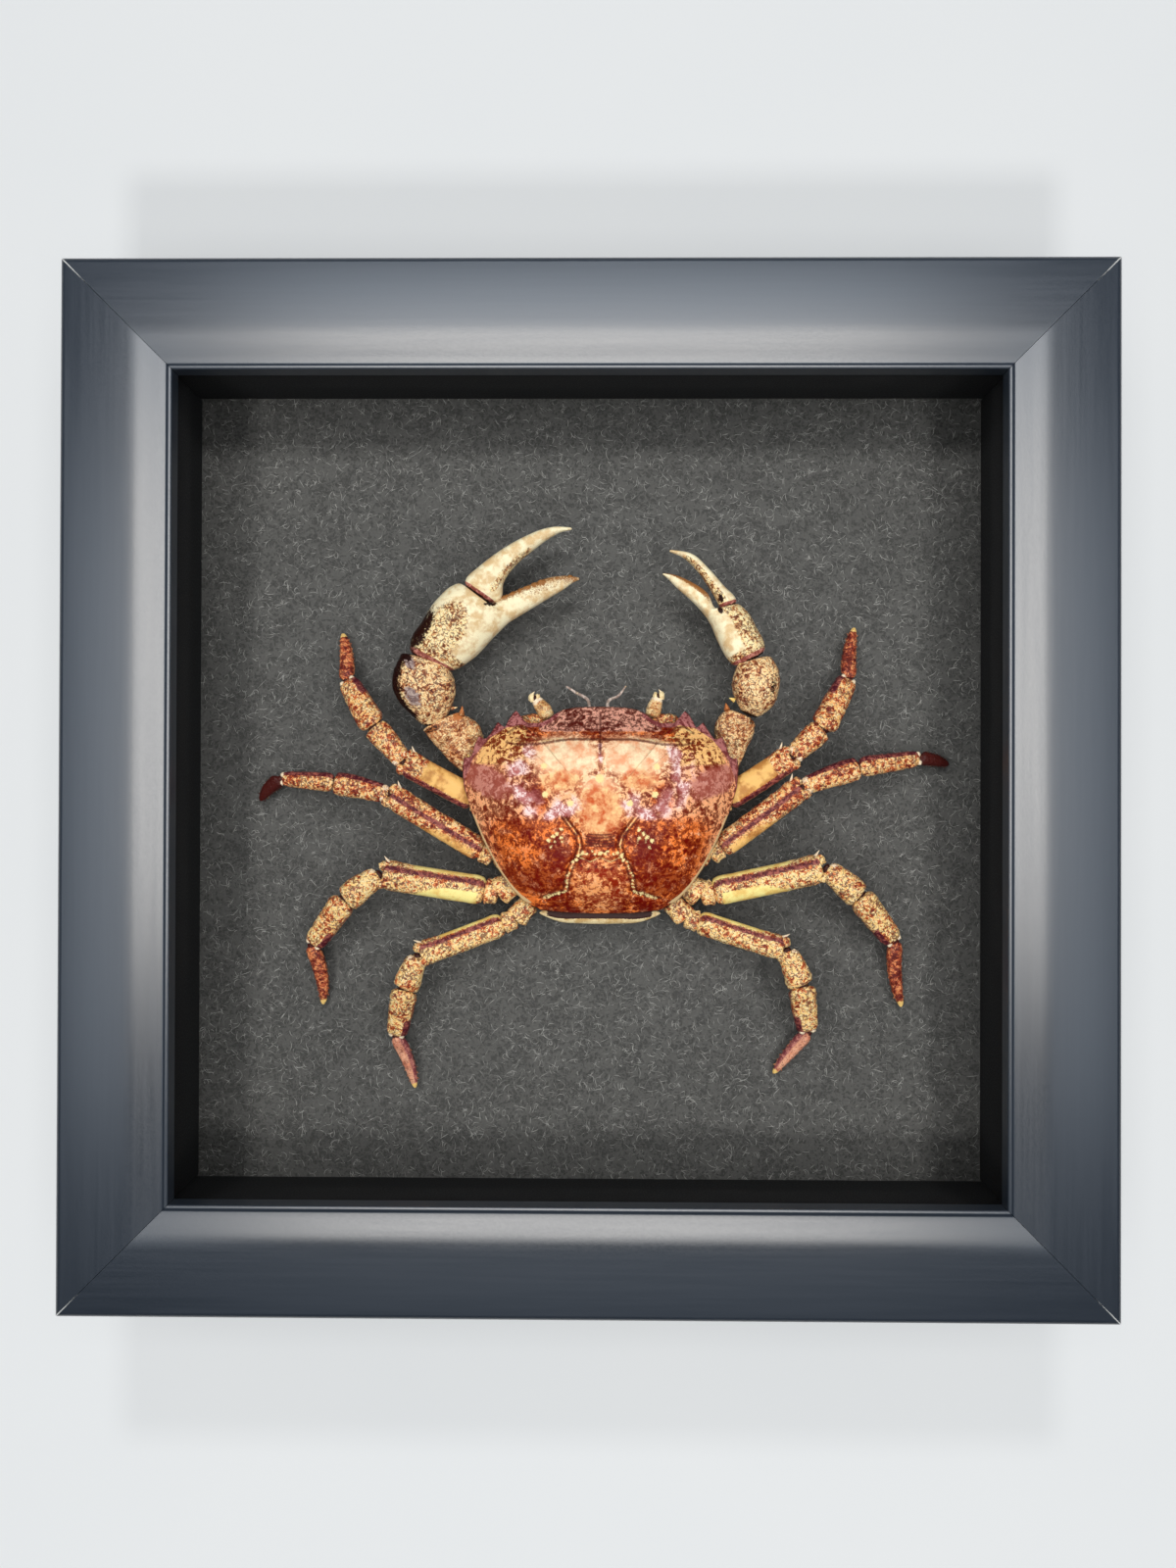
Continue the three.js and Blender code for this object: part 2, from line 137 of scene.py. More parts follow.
# rounded grains packed side by side
def makeGranules():
    tree, given, result = newGroup("granules", [("Vector", "Vector", None), ("Size", "Float", 0.0005)],
                                   [("Height", "Float"), ("Tops", "Float")])
    scaled = addNode(tree, "VectorMath", {0: given["Vector"], 1: given["Size"]},
                     operation="DIVIDE").outputs[0]
    wobble = addNode(tree, "TexNoise", {"Vector": scaled, "Scale": 0.8, "Detail": 1.0}).outputs["Color"]
    moved = addNode(tree, "VectorMath", {0: wobble, 1: (0.9, 0.9, 0.9), 2: scaled},
                    operation="MULTIPLY_ADD").outputs[0]
    cells = addNode(tree, "TexVoronoi", {"Vector": moved, "Scale": 1.0, "Randomness": 0.9})
    wire(tree, result["Height"], ease(tree, cells.outputs["Distance"], 0.05, 0.75, 1.0, 0.0))
    wire(tree, result["Tops"], ease(tree, cells.outputs["Distance"], 0.28, 0.62, 1.0, 0.0))
    return tree


# winding worm-like lines, thinning out in places
def makeSquiggles():
    tree, given, result = newGroup(
        "squiggles", [("Vector", "Vector", None), ("Size", "Float", 0.001), ("Width", "Float", 0.3)],
        [("Mask", "Float")])
    scaled = addNode(tree, "VectorMath", {0: given["Vector"], 1: given["Size"]},
                     operation="DIVIDE").outputs[0]
    field = addNode(tree, "TexNoise", {"Vector": scaled, "Scale": 1.0, "Detail": 2.0, "Roughness": 0.6,
                                       "Distortion": 0.5}).outputs["Fac"]
    ridge = maths(tree, "MULTIPLY", maths(tree, "ABSOLUTE", maths(tree, "SUBTRACT", field, 0.5)), 10.0)
    thin = addNode(tree, "TexNoise", {"Vector": scaled, "Scale": 0.35, "Detail": 1.0}).outputs["Fac"]
    width = maths(tree, "MULTIPLY", given["Width"], ease(tree, thin, 0.3, 0.7, 0.5, 1.6))
    inner = maths(tree, "MULTIPLY", width, 0.5)
    wire(tree, result["Mask"], ease(tree, ridge, inner, width, 1.0, 0.0))
    return tree


granules = makeGranules()
squiggles = makeSquiggles()


def newMaterial(name, **constants):
    # constants are set on the shader's own sockets, such as ior or coatRoughness
    material = bpy.data.materials.new(name)
    material.use_nodes = True
    tree = material.node_tree
    shader = tree.nodes["Principled BSDF"]
    labels = {"ior": "IOR", "specular": "Specular IOR Level", "coat": "Coat Weight",
              "coatRoughness": "Coat Roughness", "transmission": "Transmission Weight",
              "roughness": "Roughness", "metallic": "Metallic"}
    for key, value in constants.items():
        shader.inputs[labels[key]].default_value = value
    place = tree.nodes.new("ShaderNodeTexCoord").outputs["Object"]
    return material, tree, shader, place


def addBump(tree, shader, height, strength, distance):
    bump = addNode(tree, "Bump", {"Height": height, "Strength": strength, "Distance": distance})
    wire(tree, shader.inputs["Normal"], bump.outputs["Normal"])


def linkObject(name, data):
    made = bpy.data.objects.new(name, data)
    bpy.context.scene.collection.objects.link(made)
    return made


def finishPiece(bm, name, material, nodes=(), sharpAngle=None):
    mesh = bpy.data.meshes.new(name)
    bm.to_mesh(mesh)
    bm.free()
    mesh.polygons.foreach_set("use_smooth", [True] * len(mesh.polygons))
    if sharpAngle:
        mesh.set_sharp_from_angle(angle=math.radians(sharpAngle))
    mesh.materials.append(material)
    piece = linkObject(name, mesh)
    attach(piece, "root")
    if nodes:
        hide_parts(*nodes)
    return piece


# satin black paint on the moulding; the uv map runs along the rail and inwards across it, in metres
def makeMouldingPaint(outerHalf):
    paint = {"dark": srgb(30, 39, 50), "light": srgb(38, 46, 57), "filler": srgb(214, 212, 205),
             "streak": 0.9 * mm, "stretch": 0.03, "chipWidth": 0.16 * mm, "chipReach": 7 * mm}
    material, tree, shader, place = newMaterial("satinBlackPaint", specular=1.0, ior=1.75)
    uv = addNode(tree, "UVMap", uv_map="along").outputs["UV"]
    parts = addNode(tree, "SeparateXYZ", {0: uv}).outputs
    stretched = addNode(tree, "VectorMath", {0: uv, 1: (paint["stretch"], 1.0, 1.0)},
                        operation="MULTIPLY").outputs[0]
    streaks = cloud(tree, stretched, paint["streak"], 3.0, 0.6)
    speckle = cloud(tree, place, 0.35 * mm, 2.0, 0.6)
    colour = blendColour(tree, ease(tree, streaks, 0.3, 0.7), paint["dark"], paint["light"])
    # paint is chipped to white filler along the mitres, most at the outer corners
    mitre = maths(tree, "SUBTRACT", outerHalf,
                  maths(tree, "ADD", parts["Y"], maths(tree, "ABSOLUTE", parts["X"])))
    ragged = maths(tree, "MULTIPLY", cloud(tree, place, 0.6 * mm, 3.0), 2 * paint["chipWidth"])
    nearCorner = ease(tree, parts["Y"], 0.0, paint["chipReach"], 1.0, 0.0)
    chip = maths(tree, "LESS_THAN", mitre, maths(tree, "MULTIPLY", ragged, nearCorner))
    wire(tree, shader.inputs["Base Color"], blendColour(tree, chip, colour, paint["filler"]))
    rough = maths(tree, "ADD", ease(tree, streaks, 0.3, 0.7, 0.32, 0.36),
                  ease(tree, speckle, 0.35, 0.65, -0.02, 0.03))
    wire(tree, shader.inputs["Roughness"], rough)
    addBump(tree, shader, maths(tree, "ADD", speckle, maths(tree, "MULTIPLY", streaks, 0.6)), 0.25, 0.02 * mm)
    return material


def buildRails():
    rail = {
        "edgeRound": 1.1 * mm, "beadWidth": 1.0 * mm, "beadRise": 0.35 * mm, "beadRound": 0.3 * mm,
        "beadFootRound": 0.2 * mm, "lipRound": 0.15 * mm, "lipTop": 34.4 * mm, "rebate": 5 * mm,
        "paneGap": 0.3 * mm, "mitreGap": 0.05 * mm, "roundSteps": 6,
        # inner slope of the face, in mm: inset from the outside, drop below the flat
        "slope": [(17.0, 1.3), (16.2, 0.98), (15.4, 0.68), (14.6, 0.42), (13.8, 0.22), (13.0, 0.09),
                  (12.0, 0.02), (11.0, 0.0)],
    }
    low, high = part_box("rail_top")
    outer, sight, top = high.y, low.y, high.z
    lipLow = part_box("glass")[1].z + rail["paneGap"]
    face = outer - sight
    beadTop = (face - 0.5 * rail["beadWidth"], rail["lipTop"] + rail["beadRise"])
    beadFoot = (face - rail["beadWidth"], rail["lipTop"])
    # the moulding's section: inset from the outside, height
    section = [(0, 0), (face - rail["rebate"], 0), (face - rail["rebate"], lipLow), (face, lipLow),
               (face, rail["lipTop"]), beadTop, beadFoot,
               *[(inset * mm, top - drop * mm) for inset, drop in rail["slope"]], (0, top)]
    rounded = {(0, top): rail["edgeRound"], beadTop: rail["beadRound"], beadFoot: rail["beadFootRound"],
               (face, rail["lipTop"]): rail["lipRound"]}
    material = makeMouldingPaint(outer)
    for turns, name in enumerate(("rail_top", "rail_left", "rail_bottom", "rail_right")):
        bm = bmesh.new()
        start = [bm.verts.new((-(outer - inset - rail["mitreGap"]), outer - inset, z))
                 for inset, z in section]
        grown = bmesh.ops.extrude_face_region(bm, geom=[bm.faces.new(start)])["geom"]
        for corner in [g for g in grown if isinstance(g, bmesh.types.BMVert)]:
            corner.co.x = -corner.co.x
        bmesh.ops.recalc_face_normals(bm, faces=bm.faces[:])
        for (inset, z), radius in rounded.items():
            edges = [e for e in bm.edges if all(
                abs(v.co.y - (outer - inset)) < tiny and abs(v.co.z - z) < tiny for v in e.verts)]
            bmesh.ops.bevel(bm, geom=edges, offset=radius, offset_type="OFFSET", affect="EDGES",
                            segments=rail["roundSteps"], profile=0.5, material=-1)
        grid = bm.loops.layers.uv.new("along")
        for side in bm.faces:
            for loop in side.loops:
                loop[grid].uv = (loop.vert.co.x, outer - loop.vert.co.y)
        bmesh.ops.rotate(bm, verts=bm.verts, matrix=Matrix.Rotation(turns * math.pi / 2, 3, "Z"))
        finishPiece(bm, name.replace("rail", "moulding"), material, [name], sharpAngle=35)


def slab(name, node, material, bevel):
    low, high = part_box(node)
    bm = bmesh.new()
    bmesh.ops.create_cube(bm, size=1)
    bmesh.ops.scale(bm, vec=high - low, verts=bm.verts)
    bmesh.ops.translate(bm, vec=(low + high) / 2, verts=bm.verts)
    bmesh.ops.bevel(bm, geom=bm.edges[:], offset=bevel, segments=2, profile=0.5, affect="EDGES", material=-1)
    return finishPiece(bm, name, material, [node], sharpAngle=50)


# dark grey card with pale fibres pressed into it
def makeGreyCard():
    card = {"base": srgb(67, 67, 66), "light": srgb(102, 102, 100), "pit": srgb(66, 66, 65)}
    material, tree, shader, place = newMaterial("greyFibreCard", specular=0.2)
    soft = cloud(tree, place, 9 * mm, 3.0)
    felt = cloud(tree, place, 0.5 * mm, 4.0, 0.75)
    colour = blendColour(tree, ease(tree, soft, 0.3, 0.75, 0.0, 0.5), card["base"], card["pit"])
    lines = useGroup(tree, squiggles, Vector=place, Size=1.3 * mm, Width=0.9)["Mask"]
    colour = blendColour(tree, maths(tree, "MULTIPLY", lines, 0.5), colour, card["light"])
    colour = blendColour(tree, ease(tree, felt, 0.4, 0.7, 0.0, 0.6), colour, card["light"])
    wire(tree, shader.inputs["Base Color"], colour)
    wire(tree, shader.inputs["Roughness"], ease(tree, soft, 0.2, 0.8, 0.85, 1.0))
    addBump(tree, shader, maths(tree, "ADD", felt, maths(tree, "MULTIPLY", lines, 0.4)), 0.25, 0.05 * mm)
    return material


def scatterFibres():
    fibre = {"count": 15000, "steps": 4, "lengths": (0.7, 2.4), "widths": (0.07, 0.12), "curl": 1.2,
             "lift": 0.03, "taper": 0.6, "margin": 1.5 * mm, "seed": 31,
             "dark": srgb(102, 102, 100), "light": srgb(152, 152, 149)}
    material, tree, shader, place = newMaterial("paleFibre", specular=0.2, roughness=0.9)
    tone = cloud(tree, place, 1.2 * mm, 2.0)
    wire(tree, shader.inputs["Base Color"],
         blendColour(tree, ease(tree, tone, 0.4, 0.6), fibre["dark"], fibre["light"]))
    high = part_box("backing_card")[1]
    half, top = (high.x - fibre["margin"]) / mm, high.z / mm
    # one long grid, cut into strips, and each strip curled into its own fibre
    bm = bmesh.new()
    rowCount = 2 * fibre["count"] - 1
    bmesh.ops.create_grid(bm, x_segments=fibre["steps"], y_segments=rowCount, size=0.5)
    between = [f for f in bm.faces if round((min(v.co.y for v in f.verts) + 0.5) * rowCount) % 2]
    bmesh.ops.delete(bm, geom=between, context="FACES_ONLY")
    bmesh.ops.delete(bm, geom=[e for e in bm.edges if not e.link_faces], context="EDGES_FACES")
    grid = np.array([v.co for v in bm.verts])
    row = np.round((grid[:, 1] + 0.5) * rowCount).astype(int)
    one, across, along = row // 2, (row % 2) - 0.5, grid[:, 0]
    dice = np.random.default_rng(fibre["seed"])
    length, width = (dice.uniform(*fibre[k], fibre["count"])[one] for k in ("lengths", "widths"))
    x, y = (dice.uniform(-half, half, fibre["count"])[one] for k in range(2))
    heading = dice.uniform(0, 2 * np.pi, fibre["count"])[one]
    heading = heading + dice.normal(0, fibre["curl"], fibre["count"])[one] * along
    taper = 1 - (2 * along) ** 2 * fibre["taper"]
    x = x + np.cos(heading) * along * length - np.sin(heading) * across * width * taper
    y = y + np.sin(heading) * along * length + np.cos(heading) * across * width * taper
    x, y = np.clip((x, y), -half, half)
    for index, vertex in enumerate(bm.verts):
        vertex.co = Vector((x[index], y[index], top + fibre["lift"] * taper[index])) * mm
    finishPiece(bm, "card_fibres", material)
    print("fibres done")


def makeBlackCard():
    material, tree, shader, place = newMaterial("blackLinerCard", specular=0.3)
    tooth = cloud(tree, place, 0.4 * mm, 3.0)
    wire(tree, shader.inputs["Base Color"], blendColour(tree, tooth, srgb(20, 21, 23), srgb(34, 35, 37)))
    wire(tree, shader.inputs["Roughness"], ease(tree, tooth, 0.3, 0.7, 0.75, 0.95))
    addBump(tree, shader, tooth, 0.3, 0.04 * mm)
    return material


def makeHardboard():
    board = {"dark": srgb(104, 74, 48), "light": srgb(150, 112, 76), "stain": srgb(92, 64, 42)}
    material, tree, shader, place = newMaterial("hardboard", specular=0.3)
    fine = cloud(tree, place, 0.6 * mm, 4.0, 0.7)
    broad = cloud(tree, place, 12 * mm, 3.0)
    waves = addNode(tree, "TexWave", {"Vector": place, "Scale": 160.0}).outputs["Fac"]
    colour = blendColour(tree, fine, board["dark"], board["light"])
    colour = blendColour(tree, ease(tree, broad, 0.3, 0.7, 0.0, 0.4), colour, board["stain"])
    wire(tree, shader.inputs["Base Color"], colour)
    wire(tree, shader.inputs["Roughness"], ease(tree, fine, 0.3, 0.7, 0.6, 0.85))
    addBump(tree, shader, maths(tree, "ADD", fine, maths(tree, "MULTIPLY", waves, 0.4)), 0.4, 0.08 * mm)
    return material


def makeSteel():
    material, tree, shader, place = newMaterial("platedSteel", metallic=1.0)
    smear = cloud(tree, place, 4 * mm, 3.0)
    wire(tree, shader.inputs["Base Color"],
         blendColour(tree, smear, srgb(150, 150, 148), srgb(186, 184, 178)))
    wire(tree, shader.inputs["Roughness"], ease(tree, smear, 0.3, 0.7, 0.28, 0.5))
    addBump(tree, shader, cloud(tree, place, 0.5 * mm, 3.0), 0.15, 0.02 * mm)
    return material


def makePane():
    # clear glass with an anti-reflective finish
    material, tree, shader, place = newMaterial("clearPane", roughness=0.0, ior=1.12, transmission=1.0)
    haze = cloud(tree, place, 20 * mm, 2.0)
    wire(tree, shader.inputs["Base Color"], blendColour(tree, haze, (1, 1, 1, 1), (0.985, 0.995, 0.99, 1)))
    return material


def dress(node, material):
    # gives a CAD solid its material
    solid = frame["nodes"][node]
    solid.data.materials.clear()
    solid.data.materials.append(material)
    return solid


# flat steel points, pressed into the rails, that keep the back in
def buildFramerPoints(steel):
    point = {"length": 9 * mm, "width": 4.5 * mm, "thickness": 0.5 * mm, "corner": 1.4 * mm,
             "offset": 42 * mm, "buried": 0.35, "drop": 0.6}
    low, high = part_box("back_panel")
    places = [(turn, side) for turn in range(4) for side in (-point["offset"], point["offset"])]
    for index, (turn, side) in enumerate(places):
        bm = bmesh.new()
        bmesh.ops.create_cube(bm, size=1)
        bmesh.ops.scale(bm, vec=(point["width"], point["length"], point["thickness"]), verts=bm.verts)
        tip = [e for e in bm.edges if all(v.co.y < 0 for v in e.verts)
               and abs(e.verts[0].co.x - e.verts[1].co.x) < tiny]
        bmesh.ops.bevel(bm, geom=tip, offset=point["corner"], segments=3, profile=0.5, affect="EDGES",
                        material=-1)
        reach = high.x - point["buried"] * point["length"]
        depth = low.z - point["drop"] * point["thickness"]
        bmesh.ops.translate(bm, vec=(side, reach, depth), verts=bm.verts)
        bmesh.ops.rotate(bm, verts=bm.verts, matrix=Matrix.Rotation(turn * math.pi / 2, 3, "Z"))
        finishPiece(bm, f"framer_point_{index + 1}", steel, sharpAngle=30)


def buildBox():
    buildRails()
    print("moulding done")
    blackCard, greyCard, hardboard, steel = makeBlackCard(), makeGreyCard(), makeHardboard(), makeSteel()
    for side in ("top", "bottom", "left", "right"):
        slab("liner_strip_" + side, "liner_" + side, blackCard, 0.15 * mm)
    slab("mount_card", "backing_card", greyCard, 0.2 * mm)
    scatterFibres()
    slab("back_board", "back_panel", hardboard, 0.25 * mm)
    dress("hanger", steel)
    glass = dress("glass", makePane())
    glass.visible_shadow = False
    buildFramerPoints(steel)
    print("box done")
    return glass


# shell of the crab: distances are in mm from its middle line, y as in the frame
shell = {
    "columns": 560, "rows": 150, "topRows": 126, "rise": 8.4, "flatness": 3.1, "underside": 1.2,
    "centreY": -4.0, "smoothing": 61, "beadStep": 0.7,
    # half outline, front to rear: front lobe, eye socket, corner tooth, side teeth, side, rear
    "outline": [
        (0, 15.2), (4.6, 15.1), (6.9, 14.7), (8.6, 13.8), (9.6, 12.9), (11.2, 12.15), (13.4, 12.1),
        (14.7, 12.7), (15.5, 13.6), (15.9, 14.6), (16.6, 13.9), (17.3, 12.6), (17.8, 11.3), (18.5, 11.5),
        (19.3, 12.4), (20.0, 11.1), (20.7, 9.9), (21.3, 9.2), (22.0, 9.2), (22.9, 9.7), (23.6, 8.1),
        (23.9, 6.6), (24.2, 5.9), (25.0, 5.5), (25.7, 5.7), (25.9, 3.6), (25.6, 0.2), (24.1, -4.6),
        (21.9, -9.9), (19.3, -14.9), (16.5, -19.0), (14.4, -21.2), (11.2, -22.9), (6.0, -23.4), (0, -23.5),
    ],
    # lines and dots of one side, meant for both
    "crest": [(0.6, 9.3), (5.6, 9.3), (7.3, 9.1), (11.4, 8.4), (15.2, 8.3), (17.3, 8.8)],
    "loop": [(11.8, 8.9), (12.6, 9.4), (13.6, 9.2), (14.4, 10.5), (15.8, 10.9), (17.0, 10.3)],
    "curl": [(13.0, 10.2), (14.0, 11.2), (15.6, 11.4), (17.2, 10.2)],
    "socket": [(8.6, 13.8), (9.6, 12.9), (11.2, 12.1), (13.4, 12.0), (14.7, 12.7)],
    "toothFeet": [(13.4, 11.6), (17.5, 10.9), (20.8, 8.8), (23.6, 5.4), (25.2, 1.5), (26.5, -3.0)],
    "middleGroove": [(0, 13.6), (0, 2.8)],
    "sideGroove": [(6.5, -5.4), (4.0, -8.7), (3.6, -10.3), (4.0, -12.4), (5.3, -14.4), (6.0, -16.9),
                   (6.3, -18.9), (8.8, -19.9), (10.9, -20.4)],
    "neckGroove": [(15.0, 4.6), (14.8, 0.8), (12.9, -3.0), (10.2, -5.2), (7.4, -4.4), (5.8, -3.2),
                   (6.6, -5.4)],
    "waveLine": [(0, -12.6), (1.8, -13.4), (3.9, -12.5)],
    "dots": [(10.2, 3.9), (9.9, -1.2), (5.4, -2.8)],
    "ovals": [(0.7, -14.3), (2.1, -14.7), (3.4, -14.1)],
    "neckBeads": [(6.9, -7.6), (7.7, -8.3), (7.1, -9.0), (8.6, -8.9), (8.2, -9.9), (9.5, -9.6), (9.0, -10.7),
                  (6.8, -9.9)],
    # soft spots, on both sides: middle, size, how sharp the edge is, and strength or height in mm
    "swellings": [((14.5, -7.0), (8, 8), 2, 0.5), ((4.0, 5.5), (5, 3), 2, 0.35),
                  ((0, -5.0), (4, 5), 2, 0.35), ((0, -17.5), (5, 4), 2, 0.3)],
    "rear": [((10.5, -17.5), (5.5, 3.2), 2, 1), ((11.3, -2.2), (1.9, 2.7), 4, 0.9),
             ((13.4, 10.0), (4.4, 1.5), 4, 1)],
    # peach skin with a painted highlight on it, at the front and in the middle of the shell
    "peachAndPaintedHighlight": [((6.2, 5.6), (6.6, 4.0), 4, 1), ((0, 0.2), (4.0, 2.6), 3, 0.8)],
    "ember": [((0, -17.8), (5.6, 5.4), 4, 1)],
    # pale lilac marks with a painted highlight of the lamps on them
    "lilacAndPaintedHighlight": [((13.2, 6.2), (2.2, 2.0), 2, 0.75)],
    "shade": [((11.0, -17.0), (6.0, 3.0), 3, 1), ((8.4, -12.4), (3.0, 4.0), 3, 0.85),
              ((11.4, -1.6), (1.6, 2.6), 3, 0.8)],
    "glow": [((7.0, 1.4), (4.4, 2.6), 3, 0.8)],
}
# dark and light tone of each zone of the shell, in the order they are laid over each other
shellTones = {
    "rear": (srgb(112, 10, 0), srgb(250, 132, 58)), "ember": (srgb(146, 36, 8), srgb(255, 172, 108)),
    # the light peach tone is partly a painted highlight
    "peachAndPaintedHighlight": (srgb(240, 164, 120), srgb(255, 234, 194)), "glow": (srgb(206, 86, 34), srgb(255, 208, 146)),
    "mauve": (srgb(160, 80, 66), srgb(206, 136, 120)), "gold": (srgb(128, 50, 20), srgb(255, 200, 128)),
    # the lilac tones are partly a painted highlight
    "lobe": (srgb(88, 22, 14), srgb(236, 172, 150)), "lilacAndPaintedHighlight": (srgb(182, 100, 96), srgb(252, 224, 222)),
    "tooth": (srgb(118, 50, 52), srgb(188, 120, 118)),
}
sideTones = srgb(118, 36, 16), srgb(255, 186, 136)    # where no zone is


def outlinePoints():
    half = [Vector(p) for p in shell["outline"]]
    left = [Vector((-p.x, p.y)) for p in half]
    return left + half[-2:0:-1]


def evenSteps(points, count):
    # walks round a closed line in equal steps
    loop = np.array([tuple(p) for p in points + points[:1]])
    reach = np.concatenate([[0], np.cumsum(np.hypot(*np.diff(loop, axis=0).T))])
    steps = np.linspace(0, reach[-1], count, endpoint=False)
    return np.stack([np.interp(steps, reach, loop[:, i]) for i in (0, 1)], axis=1)


def nearLine(x, y, points):
    # distance from every (x, y) to a line of straight stretches
    best = np.full(x.shape, 1e3)
    for (ax, ay), (bx, by) in zip(points, points[1:]):
        dx, dy = bx - ax, by - ay
        t = np.clip(((x - ax) * dx + (y - ay) * dy) / (dx * dx + dy * dy), 0, 1)
        best = np.minimum(best, np.hypot(x - ax - t * dx, y - ay - t * dy))
    return best


def lineDistance(x, y, points):
    # the same, for a line that is given on one side of the shell and meant for both
    return nearLine(np.abs(x), y, points)


def softSpot(x, y, middle, size, fall=2.0):
    # 1 in the middle of an ellipse on both sides of the shell, 0 well outside it
    far = np.hypot((np.abs(x) - middle[0]) / size[0], (y - middle[1]) / size[1])
    return np.exp(-far ** fall)


def spotZone(x, y, name):
    # the strongest of a zone's spots at every point
    return np.max([strength * softSpot(x, y, middle, size, fall)
                   for middle, size, fall, strength in shell[name]], axis=0)


def gate(value, low, high):
    t = np.clip((value - low) / (high - low), 0, 1)
    return t * t * (3 - 2 * t)


def noiseAt(x, y, size, seed=0.0):
    return np.array([noise.noise(Vector((a / size, b / size, seed))) for a, b in zip(x, y)])


def makeShellMaterial():
    material, tree, shader, place = newMaterial("crabShell", specular=0.12, coat=0.08, coatRoughness=0.15)
    # the peach zone is peach skin with a painted highlight on it
    rear, peachAndPaintedHighlight, mauve, ember = paintChannels(tree, "zones")
    # the lilac zone is pale marks with a painted highlight of the lamps laid on them
    lobe, gold, lilacAndPaintedHighlight, shade = paintChannels(tree, "patches")
    yellowLine, darkLine, dots = paintChannels(tree, "lines")[:3]
    tooth, hem, glow = paintChannels(tree, "marks")[:3]
    fine = cloud(tree, place, 0.33 * mm, 3.0, 0.7, 0.3)
    middling = cloud(tree, place, 1.5 * mm, 3.0, 0.6, 0.5)
    broad = cloud(tree, place, 4.5 * mm, 3.0)
    grains = useGroup(tree, granules, Vector=place, Size=0.5 * mm)
    fray = maths(tree, "SUBTRACT", fine, 0.5)
    clump = ease(tree, rear, 0.0, 1.0, 0.35, 0.85)
    drift = maths(tree, "MULTIPLY", maths(tree, "SUBTRACT", broad, 0.5), clump)
    drift = maths(tree, "ADD", drift, maths(tree, "MULTIPLY", maths(tree, "SUBTRACT", middling, 0.5), 0.3))
    drift = maths(tree, "ADD", drift, maths(tree, "MULTIPLY", fray, 0.4))
    coarse = maths(tree, "ADD", cloud(tree, place, 1.15 * mm, 4.0, 0.62, 0.8), drift)
    dense = maths(tree, "ADD", cloud(tree, place, 0.85 * mm, 4.0, 0.62, 0.6), drift)

    def threeTones(value, low, high):
        # darks below low, lights above high, and a tone nearer the dark between them
        return maths(tree, "ADD", ease(tree, value, low - 0.04, low + 0.02, 0.0, 0.2),
                     ease(tree, value, high - 0.02, high + 0.03, 0.0, 0.8))

    jitter = maths(tree, "ADD", maths(tree, "MULTIPLY", fray, 0.7),
                   maths(tree, "MULTIPLY", maths(tree, "SUBTRACT", middling, 0.5), 1.1))

    def zoneMask(amount, low=0.35, high=0.65):
        return ease(tree, maths(tree, "ADD", amount, jitter), low, high)

    def frayed(amount, share, low, high, start=0.0, end=1.0):
        return ease(tree, maths(tree, "ADD", amount, maths(tree, "MULTIPLY", fray, share)),
                    low, high, start, end)

    # 0 for the dark tone of a zone and 1 for its light one
    pattern = blendColour(tree, ease(tree, rear, 0.2, 0.8), threeTones(coarse, 0.43, 0.52),
                          threeTones(dense, 0.45, 0.57))
    pattern = blendColour(tree, ember, pattern, threeTones(dense, 0.42, 0.53))
    pattern = blendColour(tree, gold, pattern, ease(tree, dense, 0.44, 0.52))
    pattern = blendColour(tree, ease(tree, lobe, 0.3, 0.7), pattern, threeTones(dense, 0.43, 0.52))
    pattern = maths(tree, "MULTIPLY", pattern, ease(tree, shade, 0.1, 0.9, 1.0, 0.3))
    calm = ease(tree, maths(tree, "MAXIMUM", peachAndPaintedHighlight, glow), 0.3, 0.9, 0.0, 0.7)
    pattern = blendColour(tree, calm, pattern, ease(tree, cloud(tree, place, 2.0 * mm, 3.0), 0.35, 0.62))

    masks = {
        "rear": zoneMask(rear, -0.1, 0.5), "ember": zoneMask(ember, 0.1, 0.9),
        "peachAndPaintedHighlight": zoneMask(peachAndPaintedHighlight, 0.0, 0.7), "glow": zoneMask(glow, 0.1, 0.9),
        "mauve": zoneMask(mauve, 0.25, 0.75), "gold": zoneMask(gold), "lobe": zoneMask(lobe, 0.4, 0.6),
        "lilacAndPaintedHighlight": zoneMask(lilacAndPaintedHighlight, 0.1, 1.0), "tooth": frayed(tooth, 0.4, 0.4, 0.6),
    }
    dark, light = sideTones
    for name, (darkTone, lightTone) in shellTones.items():
        dark = blendColour(tree, masks[name], dark, darkTone)
        light = blendColour(tree, masks[name], light, lightTone)
    colour = blendColour(tree, pattern, dark, light)
    # drawn over the pattern, in this order
    worn = ease(tree, middling, 0.38, 0.52, 0.2, 1.0)
    drawn = [
        (maths(tree, "MULTIPLY", frayed(darkLine, 0.5, 0.1, 0.36, 1.0, 0.0), 0.8), srgb(84, 26, 18)),
        (maths(tree, "MULTIPLY", frayed(yellowLine, 0.5, 0.0, 0.15, 1.0, 0.0), worn), srgb(250, 222, 150)),
        (frayed(dots, 1.3, 0.4, 0.6, 1.0, 0.0), srgb(250, 226, 160)),
        (frayed(hem, 0.5, 0.4, 0.6), srgb(232, 200, 150)),
    ]
    for mask, tone in drawn:
        colour = blendColour(tree, mask, colour, tone)
    wire(tree, shader.inputs["Base Color"], colour)
    wire(tree, shader.inputs["Roughness"], ease(tree, fine, 0.3, 0.7, 0.32, 0.5))
    bumpy = maths(tree, "ADD",
                  maths(tree, "MULTIPLY", grains["Height"], ease(tree, gold, 0.0, 1.0, 0.4, 1.0)),
                  maths(tree, "MULTIPLY", fine, 0.7))
    addBump(tree, shader, bumpy, 0.5, 0.1 * mm)
    return material


